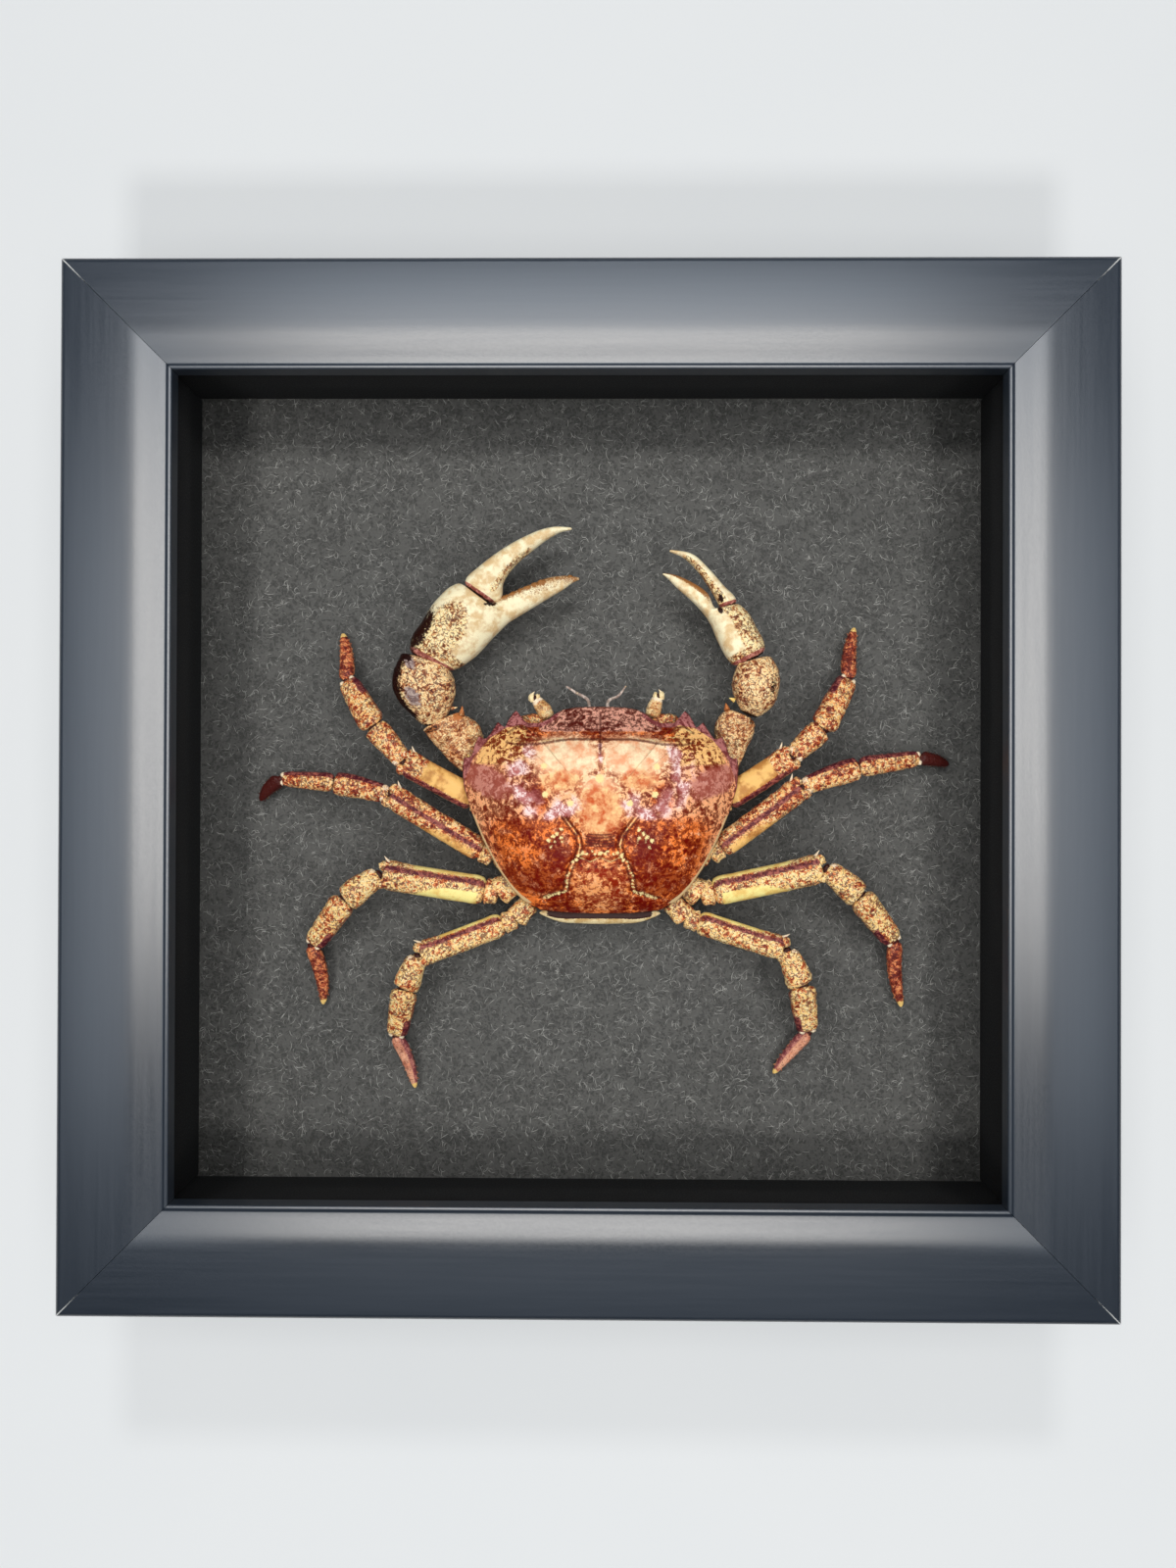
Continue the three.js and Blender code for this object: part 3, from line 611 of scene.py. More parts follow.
def layShell(bm):
    # spreads a sphere's points over the outline: x, y, share of the way to the outline, share of the way to a
    # smoothed outline, and which of them are on top
    edge = evenSteps(outlinePoints(), shell["columns"])
    centreY = shell["centreY"]
    radius = np.hypot(edge[:, 0], edge[:, 1] - centreY)
    kernel = np.hanning(shell["smoothing"])
    smoothRadius = np.convolve(np.tile(radius, 3), kernel / kernel.sum(), "same")
    smoothRadius = smoothRadius[len(radius):2 * len(radius)]
    co = np.array([v.co for v in bm.verts])
    row = np.round(np.arccos(np.clip(co[:, 2], -1, 1)) / np.pi * shell["rows"])
    turn = np.round(np.arctan2(co[:, 1], co[:, 0]) / (2 * np.pi) * shell["columns"]).astype(int)
    turn = -turn % shell["columns"]
    above = row <= shell["topRows"]
    reach = np.where(above, row / shell["topRows"],
                     (shell["rows"] - row) / (shell["rows"] - shell["topRows"]))
    x = edge[turn, 0] * reach
    y = centreY + (edge[turn, 1] - centreY) * reach
    return x, y, reach, reach * radius[turn] / smoothRadius[turn], above


def goldZone(x, y):
    # granular golden band on each front shoulder
    gold = gate(np.abs(x), 12.5, 15) * gate(y, 1.5 + 0.12 * np.abs(x), 4.6)
    gold = np.clip(gold * gate(24.5 - np.abs(x) - 0.4 * (y - 4), 0, 2), 0, 1)
    return gold * (1 - 0.9 * softSpot(x, y, (18.5, 0.5), (5, 3)))


def shellRelief(x, y, near):
    # grooves, ridge and swellings on top of the dome, in mm
    def dent(name, depth, width):
        return -depth * np.exp(-(near[name] / width) ** 2)

    relief = dent("sideGroove", 0.55, 0.8) + dent("neckGroove", 0.35, 1.3)
    relief += dent("middleGroove", 0.35, 0.45) + dent("waveLine", 0.15, 0.5)
    front = gate(y, 8.4, 9.3) * gate(18.0 - np.abs(x), 0, 2)
    relief += -0.55 * front + dent("crest", -0.25, 0.7)
    for middle, size, fall, height in shell["swellings"]:
        relief += height * softSpot(x, y, middle, size, fall)
    lump = noiseAt(x, y, 1.1) * 0.06 + noiseAt(x, y, 0.5, 4.0) * 0.05
    return relief + lump * (1 + 2.0 * goldZone(x, y))


def shellZones(x, y, rim, near):
    # how much of each colour zone is at every point, as three colour layers; rim is 1 at the smooth rim
    wide = np.abs(x)
    rear = 0.9 * gate(-y, 3.5, 9.5) * gate(22.5 - wide + 0.3 * (y + 10), 0, 7)
    rear = np.maximum(rear, spotZone(x, y, "rear"))
    rear = np.maximum(rear, 0.7 * gate(y, 8.8, 9.4) * (1 - gate(y, 9.8, 10.8)) * gate(12 - wide, 0, 2))
    # peach skin with a painted highlight on it, with less of it along the middle groove
    peachAndPaintedHighlight = spotZone(x, y, "peachAndPaintedHighlight") * (1 - 0.5 * np.exp(-(near["middleGroove"] / 0.6) ** 2))
    mauve = softSpot(x, y - 0.35 * (wide - 21), (20.8, 1.2), (5.2, 3.0), 4)

    lobe = np.maximum(gate(y, 9.6, 11.2) * gate(12.2 - wide, 0, 1.5), gate(rim, 1.0, 1.05) * gate(y, 2, 4))
    # lilac: pale marks along the neck and middle grooves, with a painted highlight of the lamps on them
    lilacAndPaintedHighlight = np.exp(-(near["neckGroove"] / 2.1) ** 2) * gate(y, -6.5, -5)
    lilacAndPaintedHighlight = lilacAndPaintedHighlight * (1 - gate(-y, 4.6, 6.0) * gate(7.2 - wide, 0, 1))
    lilacAndPaintedHighlight = np.maximum(lilacAndPaintedHighlight, spotZone(x, y, "lilacAndPaintedHighlight"))
    lilacAndPaintedHighlight = np.maximum(lilacAndPaintedHighlight, 0.8 * np.exp(-(near["middleGroove"] / 0.5) ** 2) * gate(8.4 - y, 0, 0.6))
    lilacAndPaintedHighlight *= 0.3 + 0.9 * gate(noiseAt(x, y, 2.4, 7.0), -0.3, 0.25)

    tooth = gate(y - np.interp(wide, *zip(*shell["toothFeet"])), 0.0, 0.6) * gate(wide, 12.6, 13.6)
    tooth = np.maximum(tooth, 1 - gate(lineDistance(x, y, shell["socket"]), 0.5, 1.1))
    tooth = np.maximum(tooth, gate(rim, 0.985, 0.997) * gate(y, -3, 0) * gate(wide, 8, 9))
    hem = gate(rim, 0.972, 0.982) * gate(-y, 3.5, 6.5) * (1 - gate(-y, 20.5, 22.5))
    glow = softSpot(x, y, (0, -4.2), (5.4 + 0.35 * np.minimum(y + 4.2, 0), 5.4), 3)
    glow = np.maximum(glow, spotZone(x, y, "glow"))
    return {"zones": [rear, peachAndPaintedHighlight, mauve, spotZone(x, y, "ember")],
            "patches": [lobe, goldZone(x, y), lilacAndPaintedHighlight, spotZone(x, y, "shade")],
            "marks": [tooth, hem, glow, np.ones_like(x)]}


def beadPlaces():
    # clusters beside the neck, a wavy row across it and a row down each side groove
    waves = [(across, -11.7 + 0.25 * math.sin(across * 5)) for across in (0.0, 0.8, 1.5, 2.3, 3.1)]
    places = shell["neckBeads"] + waves
    line = np.array(shell["sideGroove"][3:])
    reach = np.concatenate([[0], np.cumsum(np.hypot(*np.diff(line, axis=0).T))])
    for far in np.arange(0, reach[-1], shell["beadStep"]):
        places.append([np.interp(far, reach, line[:, i]) for i in (0, 1)])
    return places


def shellLines(x, y, near):
    # distances to the pale lines, the dark lines and the nearest bead
    wide = np.abs(x)
    beads = np.min([np.hypot(wide - a, y - b) for a, b in shell["dots"]], axis=0) - 0.05
    beads = np.minimum(beads, np.hypot(x + 0.1, y - 1.7) - 0.25)
    for a, b in beadPlaces():
        wobble = 0.14 * math.sin(7.3 * b), 0.14 * math.cos(5.1 * b)
        far = np.hypot(wide - a - wobble[0], y - b - wobble[1])
        beads = np.minimum(beads, far + 0.25 - 0.1 * math.sin(b * 9))
    upperGroove = lineDistance(x, y, shell["sideGroove"][:4])
    yellow = np.min([near["crest"] + 0.02, lineDistance(x, y, shell["loop"]), upperGroove,
                     near["waveLine"] + 0.02], axis=0)
    ripples = np.abs(((y + 8.2 - 0.05 * x * x) / 0.55) % 1 - 0.5) * 0.55 + 0.04
    ripples += 5 * gate(wide, 2.6, 3.4) + 5 * gate(y, -8.3, -7.9) + 5 * gate(-y, 10.6, 11.2)
    ovals = np.min([np.hypot((wide - a) * 1.2, (y - b) * 0.8) for a, b in shell["ovals"]], axis=0)
    beside = [lineDistance(x, y, [(a + off, b) for a, b in shell["sideGroove"]]) + 0.02
              for off in (-0.45, 0.45)]
    behindCrest = lineDistance(x, y, [(a, b - 0.45) for a, b in shell["crest"]])
    dark = np.min([behindCrest, near["middleGroove"] + 2 * gate(7 - y, 0, 5), ripples, ovals,
                   lineDistance(x, y, shell["curl"]), near["waveLine"] + 0.12, *beside], axis=0)
    return [yellow, dark, beads, np.ones_like(x)]


def buildShell():
    low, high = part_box("carapace")
    middle = (low.x + high.x) / 2 / mm
    rimZ = low.z / mm + shell["underside"]
    bm = bmesh.new()
    bmesh.ops.create_uvsphere(bm, u_segments=shell["columns"], v_segments=shell["rows"], radius=1)
    x, y, reach, rim, above = layShell(bm)
    near = {name: lineDistance(x, y, shell[name])
            for name in ("crest", "sideGroove", "neckGroove", "middleGroove", "waveLine")}
    near["crest"] += 0.12 * (np.abs(x) < 7)
    dome = rimZ + shell["rise"] * (1 - np.minimum(rim, 1.08) ** shell["flatness"])
    topZ = dome + shellRelief(x, y, near) * gate(1.02 - rim, 0, 0.12)
    z = np.where(above, topZ, rimZ - shell["underside"] * (1 - reach ** 2))
    paints = dict(shellZones(x, y, rim, near), lines=shellLines(x, y, near))
    layers = [(bm.verts.layers.float_color.new(name), np.stack(paints[name], 1))
              for name in ("zones", "patches", "lines", "marks")]
    for index, vertex in enumerate(bm.verts):
        vertex.co = Vector((x[index] + middle, y[index], z[index])) * mm
        for layer, values in layers:
            vertex[layer] = values[index]
    bmesh.ops.recalc_face_normals(bm, faces=bm.faces[:])
    finishPiece(bm, "shell", makeShellMaterial(), ["carapace"])
    print("shell done")


def makeLimbMaterial(name, palette, grainSize=0.5 * mm):
    # limb paint: red is smooth plain skin, green purple pigment, blue dark stain and the abdomen's painted
    # shadow, alpha the tip colour
    material, tree, shader, place = newMaterial(name, specular=0.2, coat=0.08, coatRoughness=0.2)
    plainPaint, purplePaint, stainAndShadowPaint, tipPaint = paintChannels(tree, "paint")
    fine = cloud(tree, place, 0.32 * mm, 3.0, 0.65, 0.4)
    broad = cloud(tree, place, 2.4 * mm, 2.0)
    blotch = cloud(tree, place, 0.8 * mm, 4.0, 0.65, 0.7)
    jitter = maths(tree, "MULTIPLY", maths(tree, "SUBTRACT", fine, 0.5), 0.9)
    patchy = maths(tree, "SUBTRACT", blotch, 0.5)

    def zoneMask(amount, low=0.35, high=0.65):
        return ease(tree, maths(tree, "ADD", amount, jitter), low, high)

    # speckled skin: gaps and blush under grains, with dark veins over them
    grains = useGroup(tree, granules, Vector=place, Size=grainSize)
    cover = maths(tree, "ADD", blotch, maths(tree, "MULTIPLY", maths(tree, "SUBTRACT", broad, 0.5), 0.35))
    cover = maths(tree, "ADD", cover, maths(tree, "MULTIPLY", jitter, 0.12))
    bare = ease(tree, cover, palette["cover"] - 0.02, palette["cover"] + 0.05)
    skin = blendColour(tree, bare, palette["gap"], palette["blush"])
    tone = blendColour(tree, maths(tree, "MULTIPLY", grains["Tops"], 0.6), palette["grain"], palette["top"])
    skin = blendColour(tree, ease(tree, cover, palette["cover"] + 0.07, palette["cover"] + 0.14), skin, tone)
    veins = useGroup(tree, squiggles, Vector=place, Size=1.0 * mm, Width=palette["network"])["Mask"]
    skin = blendColour(tree, maths(tree, "MULTIPLY", veins, 0.8), skin, palette["vein"])

    plainMask = zoneMask(plainPaint)
    sheen = maths(tree, "ADD", maths(tree, "MULTIPLY", broad, 0.7), maths(tree, "MULTIPLY", blotch, 0.3))
    smooth = blendColour(tree, ease(tree, sheen, 0.38, 0.58), palette["plain"], palette["plainLight"])
    colour = blendColour(tree, plainMask, skin, smooth)
    purpleTone = blendColour(tree, ease(tree, blotch, 0.45, 0.62), palette["purple"], palette["purpleLight"])
    ragged = maths(tree, "ADD", purplePaint, maths(tree, "MULTIPLY", patchy, 1.3))
    colour = blendColour(tree, zoneMask(ragged, 0.42, 0.6), colour, purpleTone)
    # dark stain, and on the abdomen the painted shadow in front of its rear rim
    speckled = maths(tree, "ADD", stainAndShadowPaint, maths(tree, "MULTIPLY", patchy, -1.2))
    colour = blendColour(tree, zoneMask(speckled), colour, palette["stain"])
    colour = blendColour(tree, zoneMask(tipPaint), colour, palette["tip"])
    wire(tree, shader.inputs["Base Color"], colour)
    wire(tree, shader.inputs["Roughness"], ease(tree, fine, 0.3, 0.7, 0.36, 0.5))
    calm = maths(tree, "SUBTRACT", 1.0, maths(tree, "MULTIPLY", plainMask, 0.85))
    bumpy = maths(tree, "ADD", maths(tree, "MULTIPLY", grains["Height"], calm),
                  maths(tree, "MULTIPLY", fine, 0.25))
    addBump(tree, shader, bumpy, 0.7, 0.12 * mm)
    return material


def smoothCurve(places, values, at):
    # cubic through the given values, one column each
    slopes = np.gradient(values, places, axis=0)
    index = np.clip(np.searchsorted(places, at) - 1, 0, len(places) - 2)
    span = (places[index + 1] - places[index])[:, None]
    t = (at - places[index])[:, None] / span
    return ((2 * t ** 3 - 3 * t ** 2 + 1) * values[index]
            + (t ** 3 - 2 * t ** 2 + t) * span * slopes[index]
            + (3 * t ** 2 - 2 * t ** 3) * values[index + 1]
            + (t ** 3 - t ** 2) * span * slopes[index + 1])


plain, purple, dark, tip = range(4)     # channels of the limb paint
# what a limb piece has unless its look says otherwise; rough, neck and the rounds are in mm
usualLook = {"sides": 40, "spacing": 0.26, "neck": 0, "neckShare": 0.66, "roundStart": 0.5, "roundEnd": 0.5,
             "rough": 0.13}
limb = {"squareness": 2.3, "neckStain": 0.8, "fineLump": 0.42, "broadLump": 1.0, "broadShare": 0.7,
        "plainCalm": 0.85}


def loft(ribs, special):
    # closed form through ribs: left x y, right x y, middle height, thickness, in mm. The neck is a thin
    # stub that reaches back into the piece before
    look = dict(usualLook, **special)
    rows = np.array(ribs, float)
    middles = (rows[:, 0:2] + rows[:, 2:4]) / 2
    places = np.concatenate([[0], np.cumsum(np.hypot(*np.diff(middles, axis=0).T))])
    length, neck = places[-1], look["neck"]
    count = max(14, int((length + neck) / look["spacing"]))
    bm = bmesh.new()
    bmesh.ops.create_uvsphere(bm, u_segments=look["sides"], v_segments=count, radius=1)
    layer = bm.verts.layers.float_color.new("paint")
    sphere = np.array([v.co for v in bm.verts])
    # along the piece, with more rings towards both ends
    step = np.round(np.arccos(np.clip(-sphere[:, 2], -1, 1)) / np.pi * count) / count
    at = (0.6 * step + 0.4 * (1 - np.cos(np.pi * step)) / 2) * (length + neck) - neck
    cut = smoothCurve(places, rows, np.clip(at, 0, length))
    back = (middles[0] - middles[1]) / np.hypot(*(middles[0] - middles[1]))
    shift = np.minimum(at, 0)[:, None] * -back
    close = (1 - np.clip(1 - (at + neck) / look["roundStart"], 0, 1) ** 2) ** 0.5
    close = close * (1 - np.clip(1 - (length - at) / look["roundEnd"], 0, 1) ** 2) ** 0.5
    if neck:
        share = look["neckShare"]
        close *= share + (1 - share) * np.sqrt(np.clip((at + 0.1) / 0.45, 0, 1))
    # round the piece, as a rounded square
    turn = np.arctan2(sphere[:, 1], sphere[:, 0])
    power = 2 / limb["squareness"]
    sideways, up = np.cos(turn), np.sin(turn)
    across = np.sign(sideways) * np.abs(sideways) ** power
    rise = np.sign(up) * np.abs(up) ** power
    half = (cut[:, 0:2] - cut[:, 2:4]) / 2
    centre = (cut[:, 0:2] + cut[:, 2:4]) / 2 + shift
    spot = np.column_stack([centre + half * (across * close)[:, None],
                            cut[:, 4] + cut[:, 5] / 2 * rise * close])
    outward = np.column_stack([half / np.maximum(np.hypot(*half.T), 1e-6)[:, None] * sideways[:, None], up])
    paint = np.zeros((len(at), 4))
    painted = look["paint"](np.clip(at / length, 0, 1), across, up, spot[:, 0], spot[:, 1])
    for channel, values in painted.items():
        paint[:, channel] = np.clip(values, 0, 1)
    stub = np.clip((0.12 - at) / 0.3, 0, 1) if neck else np.zeros(len(at))
    paint[:, dark] = np.maximum(paint[:, dark], stub * limb["neckStain"])
    for index, vertex in enumerate(bm.verts):
        here = Vector(spot[index])
        grain = noise.noise(here / limb["fineLump"])
        grain += limb["broadShare"] * noise.noise(here / limb["broadLump"] + Vector((9, 2, 5)))
        calm = close[index] * (1 - limb["plainCalm"] * paint[index, plain])
        vertex.co = (here + Vector(outward[index]) * (grain * look["rough"] * calm)) * mm
        vertex[layer] = paint[index]
    return bm, layer


def addSpine(bm, layer, base, aim, length, radius, paint):
    # a short thorn that leans along aim, sizes in mm
    made = bmesh.ops.create_cone(bm, cap_ends=True, segments=10, radius1=radius * mm,
                                 radius2=radius * 0.15 * mm, depth=length * mm)["verts"]
    aim = Vector(aim).normalized()
    turn = Vector((0, 0, 1)).rotation_difference(aim).to_matrix().to_4x4()
    shift = Matrix.Translation((Vector(base) + aim * length * 0.4) * mm)
    bmesh.ops.transform(bm, matrix=shift @ turn, verts=made)
    for vertex in made:
        vertex[layer] = paint


def addKnob(bm, layer, centre, size, paint):
    # a rough little lump, sizes in mm
    made = bmesh.ops.create_icosphere(bm, subdivisions=3, radius=1)["verts"]
    for vertex in made:
        bulge = 1 + 0.35 * noise.noise(vertex.co * 2.6 + Vector(centre))
        vertex.co = (Vector(centre) + Vector([a * b * bulge for a, b in zip(vertex.co, size)])) * mm
        vertex[layer] = paint


limbPalette = {
    "gap": srgb(128, 50, 28), "grain": srgb(255, 214, 140), "blush": srgb(216, 114, 62),
    "top": srgb(255, 242, 196), "vein": srgb(92, 32, 34), "plain": srgb(240, 200, 112),
    "plainLight": srgb(255, 240, 156),
    "purple": srgb(84, 26, 38), "purpleLight": srgb(170, 96, 84), "stain": srgb(56, 22, 18),
    "tip": srgb(246, 226, 196), "network": 0.5, "cover": 0.35,
}
amberPalette = dict(limbPalette, gap=srgb(118, 40, 24), grain=srgb(252, 198, 126), blush=srgb(206, 100, 54),
                    plain=srgb(198, 138, 72), plainLight=srgb(246, 196, 116), cover=0.38)
toePalette = dict(limbPalette, gap=srgb(98, 32, 20), grain=srgb(224, 134, 84), blush=srgb(176, 82, 54),
                  top=srgb(240, 176, 120), plain=srgb(202, 130, 104), plainLight=srgb(240, 182, 150),
                  purple=srgb(122, 58, 64), purpleLight=srgb(198, 130, 116), stain=srgb(70, 22, 18),
                  tip=srgb(246, 206, 126), cover=0.42)
clawPalette = dict(limbPalette, gap=srgb(98, 44, 20), grain=srgb(254, 228, 168), blush=srgb(206, 146, 92),
                   top=srgb(255, 246, 208), vein=srgb(92, 40, 20), plain=srgb(226, 194, 144),
                   plainLight=srgb(255, 244, 206), purple=srgb(140, 72, 62), purpleLight=srgb(206, 140, 126),
                   stain=srgb(40, 14, 6), tip=srgb(158, 106, 58), network=0.4, cover=0.37)
armPalette = dict(limbPalette, gap=srgb(84, 34, 18), grain=srgb(252, 212, 152), blush=srgb(196, 124, 76),
                  stain=srgb(34, 8, 4), purple=srgb(122, 100, 98), purpleLight=srgb(190, 168, 160),
                  tip=srgb(190, 116, 64), network=0.5, cover=0.37)
bodyPalette = dict(limbPalette, gap=srgb(150, 88, 44), grain=srgb(240, 192, 118),
                   plain=srgb(214, 176, 116), plainLight=srgb(250, 230, 180),
                   purple=srgb(150, 130, 120), purpleLight=srgb(208, 192, 182), network=0.4, cover=0.38)

# width along a leg piece: place, share of the width on the front side, and on the rear side
legShapes = {
    "merus": [(0, 0.86, 0.86), (0.04, 0.98, 0.98), (0.2, 1.02, 1.04), (0.5, 1.02, 1.04), (0.8, 1.04, 1.02),
              (0.93, 1.1, 0.98), (0.98, 1.0, 0.86), (1, 0.86, 0.74)],
    "carpus": [(0, 0.66, 0.66), (0.06, 0.84, 0.8), (0.25, 1.0, 0.92), (0.55, 1.14, 1.04), (0.85, 1.14, 1.14),
               (0.97, 1.02, 1.04), (1, 0.92, 0.92)],
    "propodus": [(0, 0.9, 0.9), (0.05, 1.06, 1.06), (0.3, 1.1, 1.1), (0.7, 1.0, 1.0), (0.93, 0.86, 0.84),
                 (1, 0.7, 0.66)],
    "dactylus": [(0, 1.0, 1.0), (0.08, 1.24, 1.24), (0.3, 1.2, 1.2), (0.6, 1.02, 1.0), (0.82, 0.74, 0.72),
                 (0.95, 0.44, 0.4), (1, 0.16, 0.16)],
}
# joints from hip to tip with their heights, widths of the four pieces, sideways curve of the last one
legPlan = {
    "left_leg1": ([(-21.9, -2.2, 14.4), (-34.6, 4.8, 19), (-40.5, 11.5, 17.5), (-46.6, 20.7, 13),
                   (-48.1, 30.0, 9.7)], (4.8, 4.1, 4.4, 2.3), 0.8),
    "left_leg2": ([(-20.4, -12.0, 14.4), (-37.3, -1.4, 19), (-48.3, 0.9, 16), (-59.4, 1.6, 12),
                   (-64.1, -2.7, 9.7)], (4.5, 3.8, 3.1, 2.2), 0.8),
    "left_leg3": ([(-19.8, -19.6, 14.6), (-38.9, -16.3, 19), (-45.9, -21.3, 17), (-53.0, -30.5, 13),
                   (-51.5, -42.3, 9.7)], (5.3, 4.5, 4.4, 2.3), -1.4),
    "left_leg4": ([(-16.3, -25.9, 14.6), (-31.8, -31.6, 18), (-34.6, -38.2, 16.5), (-36.8, -47.9, 12.5),
                   (-33.5, -58.4, 9.7)], (4.4, 4.3, 4.3, 2.1), -1.0),
    "right_leg1": ([(26.3, -2.0, 14.4), (37.9, 5.9, 19), (43.8, 11.3, 17.5), (49.6, 21.2, 13),
                    (51.4, 31.3, 9.7)], (4.8, 4.0, 4.4, 2.3), -0.8),
    "right_leg2": ([(25.2, -11.2, 14.4), (39.9, 0.3, 19), (51.1, 4.1, 16), (63.5, 5.9, 12),
                    (69.7, 4.7, 9.7)], (4.5, 3.8, 3.3, 2.1), -0.5),
    "right_leg3": ([(23.9, -19.6, 14.6), (44.1, -14.8, 19), (51.0, -20.3, 17), (58.5, -29.3, 13),
                    (60.6, -42.2, 9.7)], (5.3, 4.5, 4.4, 2.3), 1.2),
    "right_leg4": ([(21.0, -25.4, 14.6), (37.0, -30.2, 18), (40.2, -37.2, 16.5), (42.0, -46.8, 12.5),
                    (35.8, -55.2, 9.7)], (4.4, 4.4, 4.4, 2.1), 0.4),
}
# smooth: side with plain yellow skin, plainShare: how much of it, keel: place of the purple ridge, patch:
# side of the purple patch on the propodus; -1 is the front side, 1 the rear side. beyond: plain skin past
# the ridge too. edge: purple front side, black: dark stain and mauve: purplish skin on the dactylus.
# amber: redder speckles and darker plain skin
legStyles = {
    1: {"smooth": -1, "plainShare": 0.9, "beyond": 1, "keel": 0.8, "patch": -1, "edge": 0, "black": 0,
        "mauve": 0, "amber": True},
    2: {"smooth": 1, "plainShare": 0.6, "beyond": 0, "keel": -0.1, "patch": -1, "edge": 1, "black": 0.9,
        "mauve": 0, "amber": True},
    3: {"smooth": 1, "plainShare": 1, "beyond": 1, "keel": -0.55, "patch": 1, "edge": 0, "black": 0,
        "mauve": 0, "amber": False},
    4: {"smooth": 1, "plainShare": 0, "beyond": 1, "keel": -0.55, "patch": 1, "edge": 0, "black": 0,
        "mauve": 1, "amber": False},
}


def legPaint(kind, style, mirror):
    # a paint function says how much of each channel there is: t is 0 to 1 along the piece, across 1 on its
    # left and -1 on its right, up 1 on top and -1 below, x and y are in mm
    def merus(t, across, up, x, y):
        rear = across * mirror
        skin = gate(rear * style["smooth"], 0.0, 0.3) * gate(t, 0.03, 0.08) * style["plainShare"]
        skin *= 1 - gate(t + 0.3 * (1 - rear * style["smooth"]), 0.55, 0.85)
        ridge = np.exp(-((rear - style["keel"]) / 0.27) ** 2) * gate(up, -0.1, 0.2)
        beyond = gate(style["keel"] - rear, 0.22, 0.32) * gate(0.8 - t, 0, 0.15) * style["beyond"]
        return {plain: np.maximum(skin, beyond), purple: ridge * 0.8}

    def carpus(t, across, up, x, y):
        rear = across * mirror
        line = np.exp(-((rear + 0.1) / 0.15) ** 2) * gate(t, 0.3, 0.5)
        return {purple: style["edge"] * gate(-rear, 0.45, 0.8) + 0.6 * line}

    def propodus(t, across, up, x, y):
        side = across * mirror * style["patch"]
        full = gate(side, 0.35, 0.7) * (1 if style["edge"] else gate(t, 0.5, 0.7))
        return {purple: np.maximum(full, 0.5 * gate(side, 0.8, 0.95))}

    def dactylus(t, across, up, x, y):
        edge = gate(across * mirror, 0.1, 0.7)
        return {plain: 0.55 * style["mauve"], purple: style["mauve"] * (0.3 + 0.5 * edge),
                dark: style["black"], tip: gate(t, 0.86, 0.95) * (1 - style["black"])}

    return {"merus": merus, "carpus": carpus, "propodus": propodus, "dactylus": dactylus}[kind]


def basalPaint(t, across, up, x, y):
    return {dark: 0.45 * (1 - gate(t, 0.03, 0.2)), purple: 0.3}


# pale lumps by the joints: places across as shares of the width, first or last end and how far along from it,
# share of the width upward, size in mm, paleness
legLumps = {
    "merus": {"ways": (0.78, -0.72), "across": 0.42, "end": 1, "along": -0.15, "up": 0.15,
              "size": (1.0, 0.95, 0.9), "pale": 0.3},
    "carpus": {"ways": (-0.7, 0.7), "across": 0.36, "end": 0, "along": 0.6, "up": 0.16,
               "size": (0.7, 0.7, 0.65), "pale": 0.55},
    "propodus": {"ways": (-0.8, 0.8), "across": 0.3, "end": 1, "along": -0.3, "up": 0.12,
                 "size": (0.5, 0.5, 0.5), "pale": 0.7},
}
kneeThorn = {"back": 0.8, "across": 0.5, "up": 0.12, "lean": 0.9, "length": 1.5, "radius": 0.34, "pale": 0.9}
toeThorn = {"count": 7, "first": 0.16, "step": 0.11, "across": 0.9, "lean": 1.2, "length": 0.62,
            "radius": 0.13, "pale": 0.35}


def addThorns(bm, layer, kind, ends, along, width, mirror, bend, black):
    # a thorn on the knee's front corner, lumps by the joints, and thorns down both sides of the last piece
    sideways = Vector((-along.y, along.x, 0)).normalized()
    front, up = sideways * -mirror, Vector((0, 0, 1))
    if kind == "merus":
        corner = ends[1] - along * kneeThorn["back"] + front * width * kneeThorn["across"]
        corner += up * width * kneeThorn["up"]
        addSpine(bm, layer, corner, along + front * kneeThorn["lean"], kneeThorn["length"],
                 kneeThorn["radius"], (0, 0, 0, kneeThorn["pale"]))
    if kind in legLumps:
        lump = legLumps[kind]
        for way in lump["ways"]:
            spot = ends[lump["end"]] + along * lump["along"] + front * way * width * lump["across"]
            addKnob(bm, layer, spot + up * width * lump["up"], lump["size"], (0, 0, 0, lump["pale"]))
    else:
        for row in range(toeThorn["count"]):
            t = toeThorn["first"] + toeThorn["step"] * row
            bow = sideways * -bend * 2 * t * (1 - t)
            half = width * np.interp(t, *np.array(legShapes[kind])[:, :2].T) / 2
            for way in (-1, 1):
                spot = ends[0].lerp(ends[1], t) + bow + sideways * way * half * toeThorn["across"]
                addSpine(bm, layer, spot, along * toeThorn["lean"] + sideways * way, toeThorn["length"],
                         toeThorn["radius"], (0, 0, black, toeThorn["pale"]))


# the two short segments between body and leg; the inner one turns in under the shell
def buildBasalSegments(leg, hip, run, width, mirror, skin):
    basal = {"length": 2.6, "coxaLength": 4.4, "bodyCentre": (2.2, -7.0), "drop": 1.2, "tilt": 0.12,
             "shape": [(0, 0.9, 0.9), (0.15, 0.98, 0.98), (0.5, 1.0, 1.0), (0.85, 1.1, 1.1), (1, 1.02, 1.02)]}
    outward = run.normalized()
    outward.z = basal["tilt"]
    knee = hip - outward * basal["length"]
    toBody = (Vector((*basal["bodyCentre"], knee.z - basal["drop"])) - knee).normalized()
    segments = {"ischium": (knee - outward * 0.3, hip + outward * 0.1, 0.84),
                "coxa": (knee + toBody * basal["coxaLength"], knee - toBody * 0.2, 0.92)}
    for name, (start, end, share) in segments.items():
        ribs = legRibs(start, end, width * share, basal["shape"], mirror)
        bm, layer = loft(ribs, {"paint": basalPaint, "rough": 0.2, "roundEnd": 0.6})
        finishPiece(bm, f"{leg}_{name}", skin)


